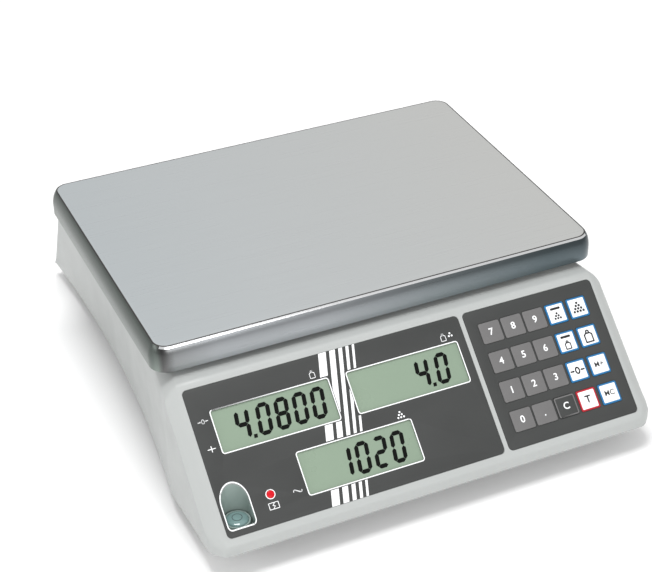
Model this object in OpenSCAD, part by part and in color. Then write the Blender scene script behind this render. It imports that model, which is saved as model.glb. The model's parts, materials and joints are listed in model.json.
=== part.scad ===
// Counting scale: a stainless weighing pan on a cast carrier and load cell, in a waisted
// plastic housing with a sloping front panel. Millimetres, +Z up, front towards -Y.
// The origin is on the ground, below the middle of the scale's footprint.

/* [Weighing pan] */
// Width of the pan, side to side
pan_w = 300; // [290:1:310]
// Depth of the pan, front to back
pan_d = 216; // [210:1:222]
// Height of the pan's skirt
pan_h = 17; // [14:1:18]
// Thickness of the pan's sheet
pan_t = 1.2; // [0.8:0.1:1.5]
// Radius of the pan's corners seen from above
pan_corner_r = 12; // [8:1:16]
// Height of the pan's top face above the ground
pan_top_z = 110; // [108:1:114]

/* [Housing] */
// Length of the housing, front to back
housing_l = 360; // [356:1:364]
// Width of the housing at the bottom of its front block
housing_w = 299; // [296:1:300]
// Height of the housing's underside above the ground
base_z = 10; // [9:0.5:11]
// Height of the flat deck below the pan
deck_z = 89.5; // [88:0.5:90]
// Wall thickness of the housing
wall = 2.8; // [2.4:0.1:3.2]
// Half width of the housing's waist at its underside
waist_half_w = 134.2; // [131:0.2:136]
// How far behind the middle the waist is narrowest
waist_y = 85; // [75:1:110]
// Inward lean of the side walls per millimetre of height
side_lean = 0.012; // [0.005:0.001:0.03]
// Forward lean of the rear wall per millimetre of height
rear_lean = 0.37; // [0.34:0.01:0.38]

/* [Front panel] */
// Slope of the panel from the horizontal, in degrees
panel_slope = 41.7; // [40:0.1:43]
// Length of both films down the slope
film_h = 90.6; // [88:0.2:92]
// Width of the display film
display_film_w = 181.6; // [180:0.2:183]
// Width of the keypad film
keypad_film_w = 92.4; // [91:0.2:93]
// Width of the plain strip between the films
film_gap = 3.4; // [2:0.1:4]
// Thickness of the films
film_t = 0.6; // [0.4:0.1:0.8]
// Width of each display window
lcd_window_w = 75; // [72:1:76]
// Height of each display window
lcd_window_h = 26; // [24:1:27]

/* [Keys] */
// Distance between key columns
key_pitch_x = 15.67; // [15.5:0.01:15.8]
// Distance between key rows
key_pitch_y = 19.4; // [19:0.1:19.8]
// Width of a digit key
digit_key_w = 14.4; // [13:0.1:14.6]
// Width of a function key
function_key_w = 13.4; // [12:0.1:14]
// Height of every key down the slope
key_h = 13.4; // [12:0.1:14]
// How far a key stands above the film
key_rise = 0.4; // [0.3:0.1:0.6]

/* [Load cell] */
// Length of the load cell
cell_l = 150; // [140:1:150]
// Width of the load cell
cell_w = 38; // [34:1:38]
// Height of the load cell
cell_h = 25; // [22:1:26]

/* [Feet] */
// Radius of a foot's rubber pad
foot_pad_r = 14; // [12:0.5:15]
// Thickness of a foot's rubber pad
foot_pad_h = 4; // [3:0.5:4.5]
// Radius of a foot's threaded stud
foot_stud_r = 3.95; // [3.9:0.01:3.97]

/* [Hidden] */
$fn = 96;
fine_fn = 720;
eps = 0.01;

KEY_NAMES = [
    "key_7", "key_8", "key_9", "key_ref_pieces", "key_pieces",
    "key_4", "key_5", "key_6", "key_ref_weight", "key_weight",
    "key_1", "key_2", "key_3", "key_set_zero", "key_memory_add",
    "key_0", "key_point", "key_clear_entry", "key_tare", "key_memory_clear"
];
FOOT_NAMES = ["front_left", "front_right", "rear_left", "rear_right"];

// ---- pan and carrier heights ----
pan_y = 12;
pan_edge_r = 4.5;
pad_top_z = pan_top_z - pan_t;
pad_h = 4;
pad_r = 9;
arm_top_z = pad_top_z - pad_h;
arm_t = 8.8;
arm_w = 16;
arm_end_r = 12;
pad_x = 118;
pad_y = 80;

// ---- housing outline ----
front_y = -housing_l / 2;
rear_y = housing_l / 2;
nose_z = base_z + 6;
crease_y = front_y + 1.3;
crease_z = base_z + 13.1;
bend_y = -103;
panel_l = (deck_z - crease_z) / sin(panel_slope);
panel_end_y = crease_y + panel_l * cos(panel_slope);
plan_corner_r = 12;
waist_reach = bend_y - 3 - waist_y;
waist_depth = housing_w / 2 - waist_half_w;
waist_r = (waist_reach * waist_reach + waist_depth * waist_depth) / (2 * waist_depth);

rear_top_y = rear_y - rear_lean * (deck_z - 9 - base_z);
// Rear wall's thickness measured level, front to back
rear_wall = wall * sqrt(1 + rear_lean * rear_lean);

// Side outline in the Y-Z plane, anticlockwise seen from +X
housing_profile = [
    [bend_y, base_z], [rear_y, base_z], [rear_top_y, deck_z - 9], [rear_top_y - 11, deck_z],
    [panel_end_y, deck_z], [crease_y, crease_z], [front_y, nose_z]
];

// ---- panel layout, in the panel's own axes: x across, v down the slope from the films' top ----
film_top_margin = (panel_l - film_h) / 2;
film_left_x = -(display_film_w + film_gap + keypad_film_w) / 2;
display_film_x = film_left_x + display_film_w / 2;
keypad_film_x = -film_left_x - keypad_film_w / 2;
film_corner_r = 3;
recess_clearance = 0.15;
lcd_centres = [[-88.3, 28.7], [-0.7, 28.7], [-46.4, 66.8]];
lcd_glass = [81, 31, 2.6];
lcd_back = [77, 27, 3.1];
lcd_glass_n = -film_t - 0.1;
lcd_corner_r = 1;
led_pos = [-106.7, 72.7];
led_r = 2.4;
key_column_x = 61.3;
key_row_v = 15.9;
key_corner_r = 1;
key_cap_clearance = 0.25;
key_flange_n = -0.85;
key_flange_t = 0.8;
key_flange = [15.3, 15];
nib_r = 2;
nib_end_n = -2.6;
dome_r = 4;
dome_h = 0.9;
board_t = 1.6;
keypad_board_n = -4;
display_board_n = -film_t - 0.1 - lcd_glass[2] - lcd_back[2];
key_window = [79, 74.4];
key_window_centre = [key_column_x + 2 * key_pitch_x, key_row_v + 1.5 * key_pitch_y];

// ---- level well in the panel's lower left corner ----
well_x = -128.1;
well_r = 8.4;
well_back_y = -152.2;
well_front_y = -171.9;
well_floor_z = 24;
well_wall = 1.6;
level_y = -162;

// ---- load cell and chassis heights ----
tray_t = 3;
tray_top_z = base_z + tray_t;
chassis_z = tray_top_z + 6;
chassis_t = 3;
chassis_size = [180, 70];
spacer_z = chassis_z + chassis_t;
spacer_h = 5;
cell_z = spacer_z + spacer_h;
cell_top_z = cell_z + cell_h;
cell_end_l = 41;
cell_bolt_x = [50, 65];
cell_hole_r = 3;
bolt_r = 2.9;
bolt_clear_r = 3.2;
bolt_head_r = 5;
// Depth of the recess that takes a bolt's head in the carrier
head_recess = 6.5;
stem_x = cell_l / 2 - cell_end_l / 2 + 3;
stop_gap = 0.5;
// The stem stands clear of the cell by a little more than the carrier's travel
stem_gap = 0.5;

// ---- screws and feet ----
tray_gap = 0.3;
rim_h = 2.5;
screw_posts = [
    [-100, -166], [25, -166], [-137, -98], [137, -98],
    [-120, 60], [120, 60], [-118, 166], [118, 166]
];
post_r = 4;
post_h = 6;
screw_r = 1.5;
chassis_screw_r = 2;
board_screw_r = 1.2;
foot_pos = [[-118, -138], [118, -138], [-112, 146], [112, 146]];
foot_knob_r = 11;
foot_knob_h = 4;
foot_boss_r = 9;
foot_boss_h = 15.5;
foot_hole_r = 4;
battery_pos = [-49, 128];
battery_size = [97, 44, 52];
battery_door = [103, 54];
main_board_pos = [53, 108];
main_board_size = [90, 84];
main_board_z = tray_top_z + 7;
lead_t = 1.2;

// ---- rear connectors ----
pocket_x = 80;
pocket_z = 38;
pocket_size = [64, 32];
pocket_depth = 20;
pocket_floor_y = rear_y - pocket_depth;
switch_x = 98;
inlet_x = 64;
rocker_pivot_y = pocket_floor_y - 4.5;
rocker_r = 9.9;
rocker_w = 12.4;
rocker_tilt = 10;

// Height of the housing's underside at a given y
function under_z(y) = y > bend_y ? base_z
    : base_z + (bend_y - y) * (nose_z - base_z) / (bend_y - front_y);

// Crossing point of the lines through a, b and through c, d
function line_cross(a, b, c, d) =
    let (r = b - a, s = d - c, q = c - a, k = (q[0] * s[1] - q[1] * s[0]) / (r[0] * s[1] - r[1] * s[0]))
    a + k * r;

// Point p moved by d to the left of the direction from a to b
function shifted(p, a, b, d) =
    let (u = (b - a) / norm(b - a)) p + d * [-u[1], u[0]];

// An anticlockwise outline with every side moved inwards by d
function inset_outline(pts, d) = let (n = len(pts)) [
    for (i = [0:n - 1])
        let (p = pts[(i + n - 1) % n], q = pts[i], r = pts[(i + 1) % n])
        line_cross(shifted(p, p, q, d), shifted(q, p, q, d), shifted(q, q, r, d), shifted(r, q, r, d))
];

// ---- general shapes ----

// Puts children at the four corners of a rectangle with half sides dx and dy
module at_four(dx, dy) {
    for (x = [-1, 1])
        for (y = [-1, 1])
            translate([x * dx, y * dy])
                children();
}

module rounded_rect(w, h, r) {
    square([w - 2 * r, h], center = true);
    square([w, h - 2 * r], center = true);
    at_four(w / 2 - r, h / 2 - r)
        circle(r);
}

module slab(w, d, h, r) {
    linear_extrude(h)
        rounded_rect(w, d, r);
}

// Section of a plate of half width r with a rounded upper edge, for revolving or extruding
module edge_section(r, h, edge_r) {
    square([r, h - edge_r]);
    square([r - edge_r, h]);
    translate([r - edge_r, h - edge_r])
        circle(edge_r);
}

// Rounded plate whose upper edge is rounded too, standing on z = 0
module pillow(w, d, h, corner_r, edge_r) {
    at_four(w / 2 - corner_r, d / 2 - corner_r)
        rotate_extrude()
            edge_section(corner_r, h, edge_r);
    for (side = [0, 1])
        mirror([side, 0, 0])
            rotate([90, 0, 0])
                linear_extrude(d - 2 * corner_r, center = true)
                    edge_section(w / 2, h, edge_r);
    for (side = [0, 1])
        mirror([0, side, 0])
            rotate([90, 0, 90])
                linear_extrude(w - 2 * corner_r, center = true)
                    edge_section(d / 2, h, edge_r);
}

// Puts children on the front panel: x across, y up the slope from the films' top, z outwards
module on_panel() {
    translate([0, panel_end_y, deck_z])
        rotate([panel_slope, 0, 0])
            translate([0, -film_top_margin, 0])
                children();
}

// Points of a bent strip's one side, at distance d to the left of its path
function strip_side(path, d) = let (last = len(path) - 1) concat(
    [shifted(path[0], path[0], path[1], d)],
    [for (i = [1:1:last - 1])
        line_cross(shifted(path[i], path[i - 1], path[i], d), shifted(path[i], path[i - 1], path[i], d)
                   + (path[i - 1] - path[i]),
                   shifted(path[i], path[i], path[i + 1], d), shifted(path[i + 1], path[i], path[i + 1], d))],
    [shifted(path[last], path[last - 1], path[last], d)]
);

function reversed(list) = [for (i = [len(list) - 1:-1:0]) list[i]];

// Flat lead of width w that bends along a path in the Y-Z plane, centred on x
module lead(x, path, w, t) {
    translate([x, 0, 0])
        rotate([90, 0, 90])
            linear_extrude(w, center = true)
                polygon(concat(strip_side(path, t / 2), reversed(strip_side(path, -t / 2))));
}

// ---- housing shapes ----

// The housing's outer form, moved inwards by d on every side
module housing_form(d) {
    height = 120;
    difference() {
        intersection() {
            rotate([90, 0, 90])
                linear_extrude(housing_w, center = true)
                    polygon(inset_outline(housing_profile, d));
            translate([0, 0, -eps])
                slab(housing_w - 2 * d, housing_l - 2 * d, height, plan_corner_r - d);
        }
        for (side = [-1, 1]) {
            translate([side * (waist_half_w + waist_r), waist_y, base_z])
                cylinder(r1 = waist_r + d, r2 = waist_r + d + side_lean * height, h = height,
                         $fn = fine_fn);
            translate([side * (housing_w / 2 - d), 0, base_z])
                rotate([0, -side * atan(side_lean), 0])
                    translate([side * 10, 0, height / 2])
                        cube([20, housing_l + 2, height + 20], center = true);
        }
    }
}

// Everything below the housing's inner roof, open underneath
module housing_cavity() {
    housing_form(wall);
    housing_form_column();
}

// The cavity's outline carried straight down through the open underside
module housing_form_column() {
    inner_w = housing_w - 2 * wall;
    inner_l = housing_l - 2 * wall;
    top_z = base_z + wall + 1;
    inner_rear_y = rear_y - rear_wall - rear_lean * (top_z - base_z) - 0.2;
    difference() {
        intersection() {
            slab(inner_w, inner_l, 40, plan_corner_r - wall);
            rotate([90, 0, 90])
                linear_extrude(housing_w, center = true)
                    polygon([[bend_y, 0], [inner_rear_y, 0], [inner_rear_y, top_z], [bend_y, top_z],
                             [crease_y + wall + 1, crease_z - 3], [crease_y + wall, 0]]);
        }
        for (side = [-1, 1])
            translate([side * (waist_half_w + waist_r), waist_y, 0])
                cylinder(r = waist_r + wall + 0.2, h = 60, $fn = fine_fn);
    }
}

// Plan outline of the level well, grown by d
module well_outline(d) {
    translate([well_x, well_back_y - well_r])
        circle(well_r + d);
    translate([well_x - well_r - d, well_front_y - d])
        square([2 * (well_r + d), well_back_y - well_r - well_front_y + d]);
}

// Space of the level well, open at the top
module well_space(d, from_z) {
    translate([0, 0, from_z])
        linear_extrude(60)
            well_outline(d);
}

module panel_cutouts() {
    on_panel() {
        translate([display_film_x, -film_h / 2, -film_t])
            slab(display_film_w + 2 * recess_clearance, film_h + 2 * recess_clearance, 5, film_corner_r);
        translate([keypad_film_x, -film_h / 2, -film_t])
            slab(keypad_film_w + 2 * recess_clearance, film_h + 2 * recess_clearance, 5, film_corner_r);
        for (c = lcd_centres)
            translate([c[0], -c[1], -5])
                slab(lcd_glass[0] + 0.6, lcd_glass[1] + 0.6, 10, lcd_corner_r);
        translate([key_window_centre[0], -key_window_centre[1], -5])
            slab(key_window[0], key_window[1], 10, lcd_corner_r);
        translate([led_pos[0], -led_pos[1], -5])
            cylinder(r = led_r + 0.2, h = 10, $fn = 48);
    }
}

// Screw places on the panel's back: x, v, height of the boss
function board_bosses() = [
    for (p = [[50, 5], [135, 5], [50, 86], [135, 86]]) [p[0], p[1], keypad_board_n],
    for (p = [[-128, 7.5], [38, 7.5], [-112, 74], [38, 74]]) [p[0], p[1], display_board_n]
];

module upper_housing() {
    color([0.82, 0.83, 0.82])
        difference() {
            union() {
                difference() {
                    housing_form(0);
                    housing_cavity();
                }
                intersection() {
                    housing_form(wall / 2);
                    union() {
                        for (p = screw_posts)
                            translate([p[0], p[1], under_z(p[1]) + tray_t + post_h])
                                cylinder(r = post_r, h = 100, $fn = 48);
                        on_panel()
                            for (b = board_bosses())
                                translate([b[0], -b[1], b[2]])
                                    cylinder(r = 2.6, h = -b[2] - film_t - eps, $fn = 48);
                        well_space(well_wall, well_floor_z - well_wall);
                        translate([pocket_x - pocket_size[0] / 2 - wall, pocket_floor_y - wall,
                                   pocket_z - pocket_size[1] / 2 - wall])
                            cube([pocket_size[0] + 2 * wall, pocket_depth + wall, pocket_size[1] + 2 * wall]);
                    }
                }
            }
            panel_cutouts();
            well_space(0, well_floor_z);
            for (p = screw_posts)
                translate([p[0], p[1], 0])
                    cylinder(r = screw_r + 0.05, h = under_z(p[1]) + tray_t + post_h + 3.5, $fn = 48);
            on_panel()
                for (b = board_bosses())
                    translate([b[0], -b[1], b[2] - 1])
                        cylinder(r = board_screw_r + 0.05, h = -b[2] - film_t, $fn = 32);
            translate([stem_x, pan_y, deck_z - 8])
                slab(cell_end_l + 12, cell_w + 12, 20, 6);
            translate([pocket_x, rear_y + eps, pocket_z])
                rotate([90, 0, 0])
                    slab(pocket_size[0], pocket_size[1], pocket_depth + eps, 2);
            translate([switch_x, rear_y, pocket_z])
                rotate([90, 0, 0])
                    slab(15.2, 24.2, pocket_depth + 10, 1);
            translate([inlet_x, rear_y, pocket_z])
                rotate([90, 0, 0])
                    cylinder(r = 5.6, h = pocket_depth + 10, $fn = 64);
        }
}

// Floor of the tray between its own outline and height h above the underside
module tray_band(inset, h) {
    intersection() {
        housing_form_for_tray(inset);
        rotate([90, 0, 90])
            linear_extrude(housing_w, center = true)
                polygon([[bend_y, base_z], [rear_y, base_z], [rear_y, base_z + h], [bend_y, base_z + h],
                         [front_y, nose_z + h], [front_y, nose_z]]);
    }
}

// Plan of the housing moved inwards by d, as an upright column
module housing_form_for_tray(d) {
    difference() {
        slab(housing_w - 2 * d - 1, housing_l - 2 * d, 60, plan_corner_r - d);
        for (side = [-1, 1])
            translate([side * (waist_half_w + waist_r), waist_y, 0])
                cylinder(r = waist_r + d + 0.6, h = 60, $fn = fine_fn);
        translate([-200, front_y - 10, 0])
            cube([400, 10 + d + 2.4, 60]);
        // The rear wall leans in over the tray's edge
        translate([-200, rear_y - d - 2.4, 0])
            cube([400, 20, 60]);
    }
}

// Puts children at height z above the chassis plate's four screw places
module at_chassis_screws(z) {
    translate([0, pan_y, z])
        at_four(chassis_size[0] / 2 - 8, chassis_size[1] / 2 - 8)
            children();
}

// Puts children at height z at the main board's four screw places
module at_main_board_screws(z) {
    translate([main_board_pos[0], main_board_pos[1], z])
        at_four(main_board_size[0] / 2 - 5, main_board_size[1] / 2 - 5)
            children();
}

module base_tray() {
    color([0.72, 0.73, 0.73])
        difference() {
            union() {
                tray_band(wall + tray_gap, tray_t);
                difference() {
                    tray_band(wall + tray_gap, tray_t + rim_h);
                    translate([0, 0, -1])
                        housing_form_for_tray(wall + tray_gap + 2);
                    tray_band_cuts();
                }
                for (p = screw_posts)
                    translate([p[0], p[1], under_z(p[1]) + 0.5])
                        cylinder(r = post_r + 2, h = tray_t + post_h - 0.5, $fn = 48);
                for (p = foot_pos)
                    translate([p[0], p[1], under_z(p[1]) + 0.8])
                        cylinder(r = foot_boss_r, h = foot_boss_h - 0.8);
                at_chassis_screws(base_z + 1)
                    cylinder(r = 6, h = chassis_z - base_z - 1, $fn = 48);
                at_main_board_screws(base_z + 1)
                    cylinder(r = 3.5, h = main_board_z - base_z - 1, $fn = 48);
            }
            for (p = screw_posts)
                translate([p[0], p[1], under_z(p[1]) - 2]) {
                    cylinder(r = 3.6, h = 5.5, $fn = 48);
                    cylinder(r = screw_r + 0.3, h = 20, $fn = 48);
                }
            for (p = foot_pos)
                translate([p[0], p[1], 0])
                    cylinder(r = foot_hole_r, h = 60);
            at_chassis_screws(base_z + 1.5)
                cylinder(r = chassis_screw_r + 0.05, h = 20, $fn = 48);
            at_main_board_screws(base_z + 2)
                cylinder(r = board_screw_r + 0.05, h = 20, $fn = 32);
            translate([battery_pos[0], battery_pos[1], base_z - 1])
                slab(battery_door[0] + 0.6, battery_door[1] + 0.6, tray_t + 2, 3);
        }
}

// Gaps in the tray's rim where the housing's posts stand
module tray_band_cuts() {
    for (p = screw_posts)
        translate([p[0], p[1], under_z(p[1]) + tray_t])
            cylinder(r = post_r + 2.5, h = 20, $fn = 48);
}

module housing_screws() {
    color([0.6, 0.6, 0.62])
        for (p = screw_posts)
            translate([p[0], p[1], under_z(p[1]) + 1.1])
                difference() {
                    union() {
                        cylinder(r = 3, h = 2.4, $fn = 48);
                        cylinder(r = screw_r, h = tray_t + post_h + 1.5, $fn = 32);
                    }
                    translate([0, 0, -eps])
                        cylinder(r = 1.4, h = 1.2, $fn = 6);
                }
}

// ---- pan, carrier and load cell ----
module weighing_pan() {
    color([0.75, 0.77, 0.79])
        translate([0, pan_y, pan_top_z - pan_h])
            difference() {
                pillow(pan_w, pan_d, pan_h, pan_corner_r, pan_edge_r);
                translate([0, 0, -1])
                    pillow(pan_w - 2 * pan_t, pan_d - 2 * pan_t, pan_h + 1 - pan_t,
                           pan_corner_r - pan_t, pan_edge_r - pan_t);
            }
}

module pan_pads() {
    color([0.12, 0.12, 0.12])
        translate([0, pan_y, arm_top_z])
            at_four(pad_x, pad_y) {
                cylinder(r = pad_r, h = pad_h);
                translate([0, 0, -arm_t + 3])
                    cylinder(r = 2.95, h = arm_t);
            }
}

// Flat straight bar from a to b
module bar_outline(a, b, w) {
    step = b - a;
    translate(a)
        rotate(atan2(step[1], step[0]))
            translate([0, -w / 2])
                square([norm(step), w]);
}

// The carrier's arms seen from above, round the middle of the pan
module arms_outline() {
    rounded_rect(2 * (stem_x + cell_end_l / 2), cell_w + 6, 8);
    for (x = [-1, 1])
        for (y = [-1, 1]) {
            bar_outline([x * 62, y * 10], [x * pad_x, y * pad_y], arm_w);
            translate([x * pad_x, y * pad_y])
                circle(arm_end_r);
        }
}

module pan_carrier() {
    color([0.66, 0.67, 0.69])
        translate([0, pan_y, 0])
            difference() {
                union() {
                    translate([0, 0, arm_top_z - arm_t])
                        linear_extrude(arm_t)
                            arms_outline();
                    translate([stem_x, 0, cell_top_z + stem_gap])
                        slab(cell_end_l - 2, cell_w - 2, arm_top_z - arm_t - cell_top_z, 3);
                }
                translate([0, 0, arm_top_z - arm_t - 1])
                    at_four(pad_x, pad_y)
                        cylinder(r = 3, h = arm_t + 2);
                for (x = cell_bolt_x)
                    translate([x, 0, cell_top_z - 1]) {
                        cylinder(r = bolt_clear_r, h = 80);
                        translate([0, 0, arm_top_z - cell_top_z + 1 - head_recess])
                            cylinder(r = bolt_head_r + 0.6, h = 20);
                    }
                for (x = [-38, -8, 22])
                    translate([x, 0, arm_top_z - 3])
                        slab(22, cell_w - 6, 10, 3);
            }
}

// Hexagon-socket screw with its head at the top, head underside at z = 0
module socket_screw(r, length, head_r, head_h) {
    difference() {
        union() {
            translate([0, 0, -length])
                cylinder(r = r, h = length + eps, $fn = 48);
            cylinder(r = head_r, h = head_h, $fn = 48);
        }
        translate([0, 0, head_h / 2])
            cylinder(r = head_r * 0.5, h = head_h, $fn = 6);
    }
}

module carrier_bolts() {
    color([0.45, 0.46, 0.48])
        for (x = cell_bolt_x)
            translate([x, pan_y, arm_top_z - head_recess])
                socket_screw(bolt_r, arm_top_z - head_recess - cell_top_z + 12, bolt_head_r, 5.5);
}

module load_cell() {
    color([0.78, 0.79, 0.8])
        translate([0, pan_y, cell_z])
            difference() {
                translate([-cell_l / 2, -cell_w / 2, 0])
                    cube([cell_l, cell_w, cell_h]);
                for (x = [-13, 13])
                    translate([x, 0, cell_h / 2])
                        rotate([90, 0, 0])
                            cylinder(r = 9.5, h = cell_w + 2, center = true);
                translate([0, 0, cell_h / 2])
                    cube([26, cell_w + 2, 6], center = true);
                for (x = cell_bolt_x) {
                    translate([x, 0, cell_h - 14])
                        cylinder(r = cell_hole_r, h = 20, $fn = 48);
                    translate([-x, 0, -1])
                        cylinder(r = cell_hole_r, h = 15, $fn = 48);
                }
            }
}

module load_cell_spacer() {
    color([0.6, 0.61, 0.63])
        difference() {
            translate([-cell_l / 2 + cell_end_l / 2, pan_y, spacer_z])
                slab(cell_end_l, cell_w, spacer_h, 2);
            for (x = cell_bolt_x)
                translate([-x, pan_y, spacer_z - 1])
                    cylinder(r = bolt_clear_r, h = spacer_h + 2, $fn = 48);
        }
}

module load_cell_bolts() {
    color([0.45, 0.46, 0.48])
        for (x = cell_bolt_x)
            translate([-x, pan_y, chassis_z])
                rotate([180, 0, 0])
                    socket_screw(bolt_r, chassis_t + spacer_h + 11, bolt_head_r, 4.5);
}

module overload_stops() {
    color([0.5, 0.5, 0.52])
        for (y = [-1, 1])
            translate([stem_x + 6, pan_y + y * 12, chassis_z - 3]) {
                cylinder(r = 2.9, h = cell_z - stop_gap - chassis_z + 3, $fn = 48);
                translate([0, 0, 3 + chassis_t])
                    cylinder(r = 5, h = 3, $fn = 6);
            }
}

module chassis_plate() {
    color([0.62, 0.64, 0.66])
        difference() {
            translate([0, pan_y, chassis_z])
                slab(chassis_size[0], chassis_size[1], chassis_t, 6);
            for (x = cell_bolt_x)
                translate([-x, pan_y, chassis_z - 1])
                    cylinder(r = bolt_clear_r, h = 10, $fn = 48);
            for (y = [-1, 1])
                translate([stem_x + 6, pan_y + y * 12, chassis_z - 1])
                    cylinder(r = 2.95, h = 10, $fn = 48);
            at_chassis_screws(chassis_z - 1)
                cylinder(r = chassis_screw_r + 0.2, h = 10, $fn = 48);
        }
}

module chassis_screws() {
    color([0.5, 0.5, 0.52])
        at_chassis_screws(chassis_z + chassis_t)
            socket_screw(chassis_screw_r, chassis_t + 6, 3.5, 3);
}

// ---- front panel ----
module display_film() {
    color([0.33, 0.34, 0.34])
        difference() {
            on_panel()
                difference() {
                    translate([display_film_x, -film_h / 2, -film_t])
                        slab(display_film_w, film_h, film_t, film_corner_r);
                    for (c = lcd_centres)
                        translate([c[0], -c[1], -2])
                            slab(lcd_window_w, lcd_window_h, 4, lcd_corner_r);
                    translate([led_pos[0], -led_pos[1], -2])
                        cylinder(r = led_r + 0.2, h = 4, $fn = 48);
                }
            well_space(0.2, 0);
        }
}

module keypad_film() {
    color([0.33, 0.34, 0.34])
        on_panel()
            difference() {
                translate([keypad_film_x, -film_h / 2, -film_t])
                    slab(keypad_film_w, film_h, film_t, film_corner_r);
                for (k = [0:len(KEY_NAMES) - 1])
                    at_key(k)
                        translate([0, 0, -2])
                            slab(key_width(k) + 2 * key_cap_clearance, key_h + 2 * key_cap_clearance, 4,
                                 key_corner_r);
            }
}

// Keys are numbered along each row from the top left; the first three columns hold the digits
function key_width(k) = k % 5 < 3 ? digit_key_w : function_key_w;

module at_key(k) {
    translate([key_column_x + (k % 5) * key_pitch_x, -key_row_v - floor(k / 5) * key_pitch_y, 0])
        children();
}

module key(k) {
    color(k % 5 > 2 ? [0.93, 0.94, 0.95] : [0.48, 0.48, 0.48])
        on_panel()
            at_key(k) {
                translate([0, 0, key_flange_n - eps])
                    slab(key_width(k), key_h, key_rise - key_flange_n + eps, key_corner_r);
                translate([0, 0, key_flange_n - key_flange_t])
                    slab(key_flange[0], key_flange[1], key_flange_t, key_corner_r);
                translate([0, 0, nib_end_n])
                    cylinder(r = nib_r, h = key_flange_n - nib_end_n - eps, $fn = 32);
            }
}

module keypad_board() {
    color([0.1, 0.35, 0.2])
        on_panel()
            difference() {
                translate([keypad_film_x, -45.5, keypad_board_n - board_t])
                    slab(90, 87, board_t, 2);
                for (b = board_bosses())
                    translate([b[0], -b[1], keypad_board_n - board_t - 1])
                        cylinder(r = board_screw_r + 0.2, h = 10, $fn = 32);
            }
}

module key_domes() {
    color([0.85, 0.8, 0.6])
        on_panel()
            for (k = [0:len(KEY_NAMES) - 1])
                at_key(k)
                    translate([0, 0, keypad_board_n])
                        cylinder(r1 = dome_r, r2 = dome_r * 0.45, h = dome_h, $fn = 32);
}

module lcd(i) {
    color([0.62, 0.7, 0.62])
        on_panel()
            translate([lcd_centres[i][0], -lcd_centres[i][1], lcd_glass_n - lcd_glass[2]]) {
                slab(lcd_glass[0], lcd_glass[1], lcd_glass[2], 0.5);
                translate([0, 0, -lcd_back[2]])
                    slab(lcd_back[0], lcd_back[1], lcd_back[2] + eps, 0.5);
            }
}

// The lower left corner is left out to clear the level well
module display_board() {
    color([0.1, 0.35, 0.2])
        on_panel()
            difference() {
                translate([-131, -78, display_board_n - board_t])
                    cube([173, 74, board_t]);
                for (b = board_bosses())
                    translate([b[0], -b[1], display_board_n - board_t - 1])
                        cylinder(r = board_screw_r + 0.2, h = 10, $fn = 32);
                translate([-150, -100, display_board_n - board_t - 1])
                    cube([34, 50, 10]);
            }
}

module board_screws() {
    color([0.6, 0.6, 0.62]) {
        on_panel()
            for (b = board_bosses())
                translate([b[0], -b[1], b[2] - board_t])
                    rotate([180, 0, 0])
                        socket_screw(board_screw_r, board_t + 2.2, 2.3, 1.5);
        at_main_board_screws(main_board_z + board_t)
            socket_screw(board_screw_r, board_t + 5, 2.3, 1.5);
    }
}

module charge_led() {
    color([0.85, 0.1, 0.12])
        on_panel()
            translate([led_pos[0], -led_pos[1], 0]) {
                translate([0, 0, display_board_n])
                    cylinder(r = led_r, h = -display_board_n - 0.3, $fn = 48);
                translate([0, 0, display_board_n])
                    cylinder(r = led_r + 0.3, h = 1, $fn = 48);
            }
}

module level_body() {
    color([0.75, 0.78, 0.74])
        difference() {
            translate([well_x, level_y, well_floor_z])
                cylinder(r = 8.1, h = 3.2);
            translate([well_x, level_y, well_floor_z + 1])
                cylinder(r = 6.8, h = 4);
        }
}

module level_vial() {
    color([0.45, 0.72, 0.62])
        translate([well_x, level_y, well_floor_z + 1])
            rotate_extrude()
                intersection() {
                    square([6.7, 4]);
                    translate([0, -18])
                        circle(21.8, $fn = fine_fn);
                }
}

// ---- electronics in the base ----
module main_board() {
    color([0.1, 0.35, 0.2])
        difference() {
            translate([main_board_pos[0], main_board_pos[1], main_board_z]) {
                slab(main_board_size[0], main_board_size[1], board_t, 2);
                translate([-20, -12, board_t - eps])
                    slab(18, 18, 1.8, 0.5);
                translate([14, 8, board_t - eps])
                    slab(12, 8, 2.2, 0.5);
                translate([16, 32, board_t - eps])
                    slab(30, 6, 8, 0.5);
                translate([-26, 30, board_t - eps])
                    cylinder(r = 5, h = 12);
                translate([-14, 30, board_t - eps])
                    cylinder(r = 5, h = 12);
                translate([28, -20, board_t - eps])
                    slab(16, 12, 10, 0.5);
            }
            at_main_board_screws(main_board_z - 1)
                cylinder(r = board_screw_r + 0.2, h = 10, $fn = 32);
        }
}

module battery() {
    color([0.2, 0.2, 0.22])
        translate([battery_pos[0], battery_pos[1], tray_top_z]) {
            slab(battery_size[0], battery_size[1], battery_size[2], 2);
            for (y = [-12, 12])
                translate([battery_size[0] / 2 - 10, y, battery_size[2] - eps])
                    slab(8, 1, 6, 0.4);
        }
}

// Lid below the battery. Tongues at the back and a latch at the front reach over the tray's floor.
module battery_cover() {
    edge_y = battery_door[1] / 2;
    color([0.72, 0.73, 0.73])
        translate([battery_pos[0], battery_pos[1], base_z])
            difference() {
                union() {
                    slab(battery_door[0], battery_door[1], tray_t, 3);
                    for (x = [-30, 30])
                        hook(x, 12, edge_y);
                    mirror([0, 1, 0])
                        hook(0, 20, edge_y);
                }
                for (x = [-4, 0, 4])
                    translate([x, -edge_y + 12, -1])
                        slab(1.5, 14, 1.6, 0.7);
            }
}

// Hook of width w at x that rises from a lid's edge and reaches over the floor round it
module hook(x, w, edge_y) {
    translate([x - w / 2, edge_y - 3.5, tray_t - 1])
        cube([w, 3.5, 2.5]);
    translate([x - w / 2, edge_y - 3.5, tray_t])
        cube([w, 7, 1.5]);
}

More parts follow.
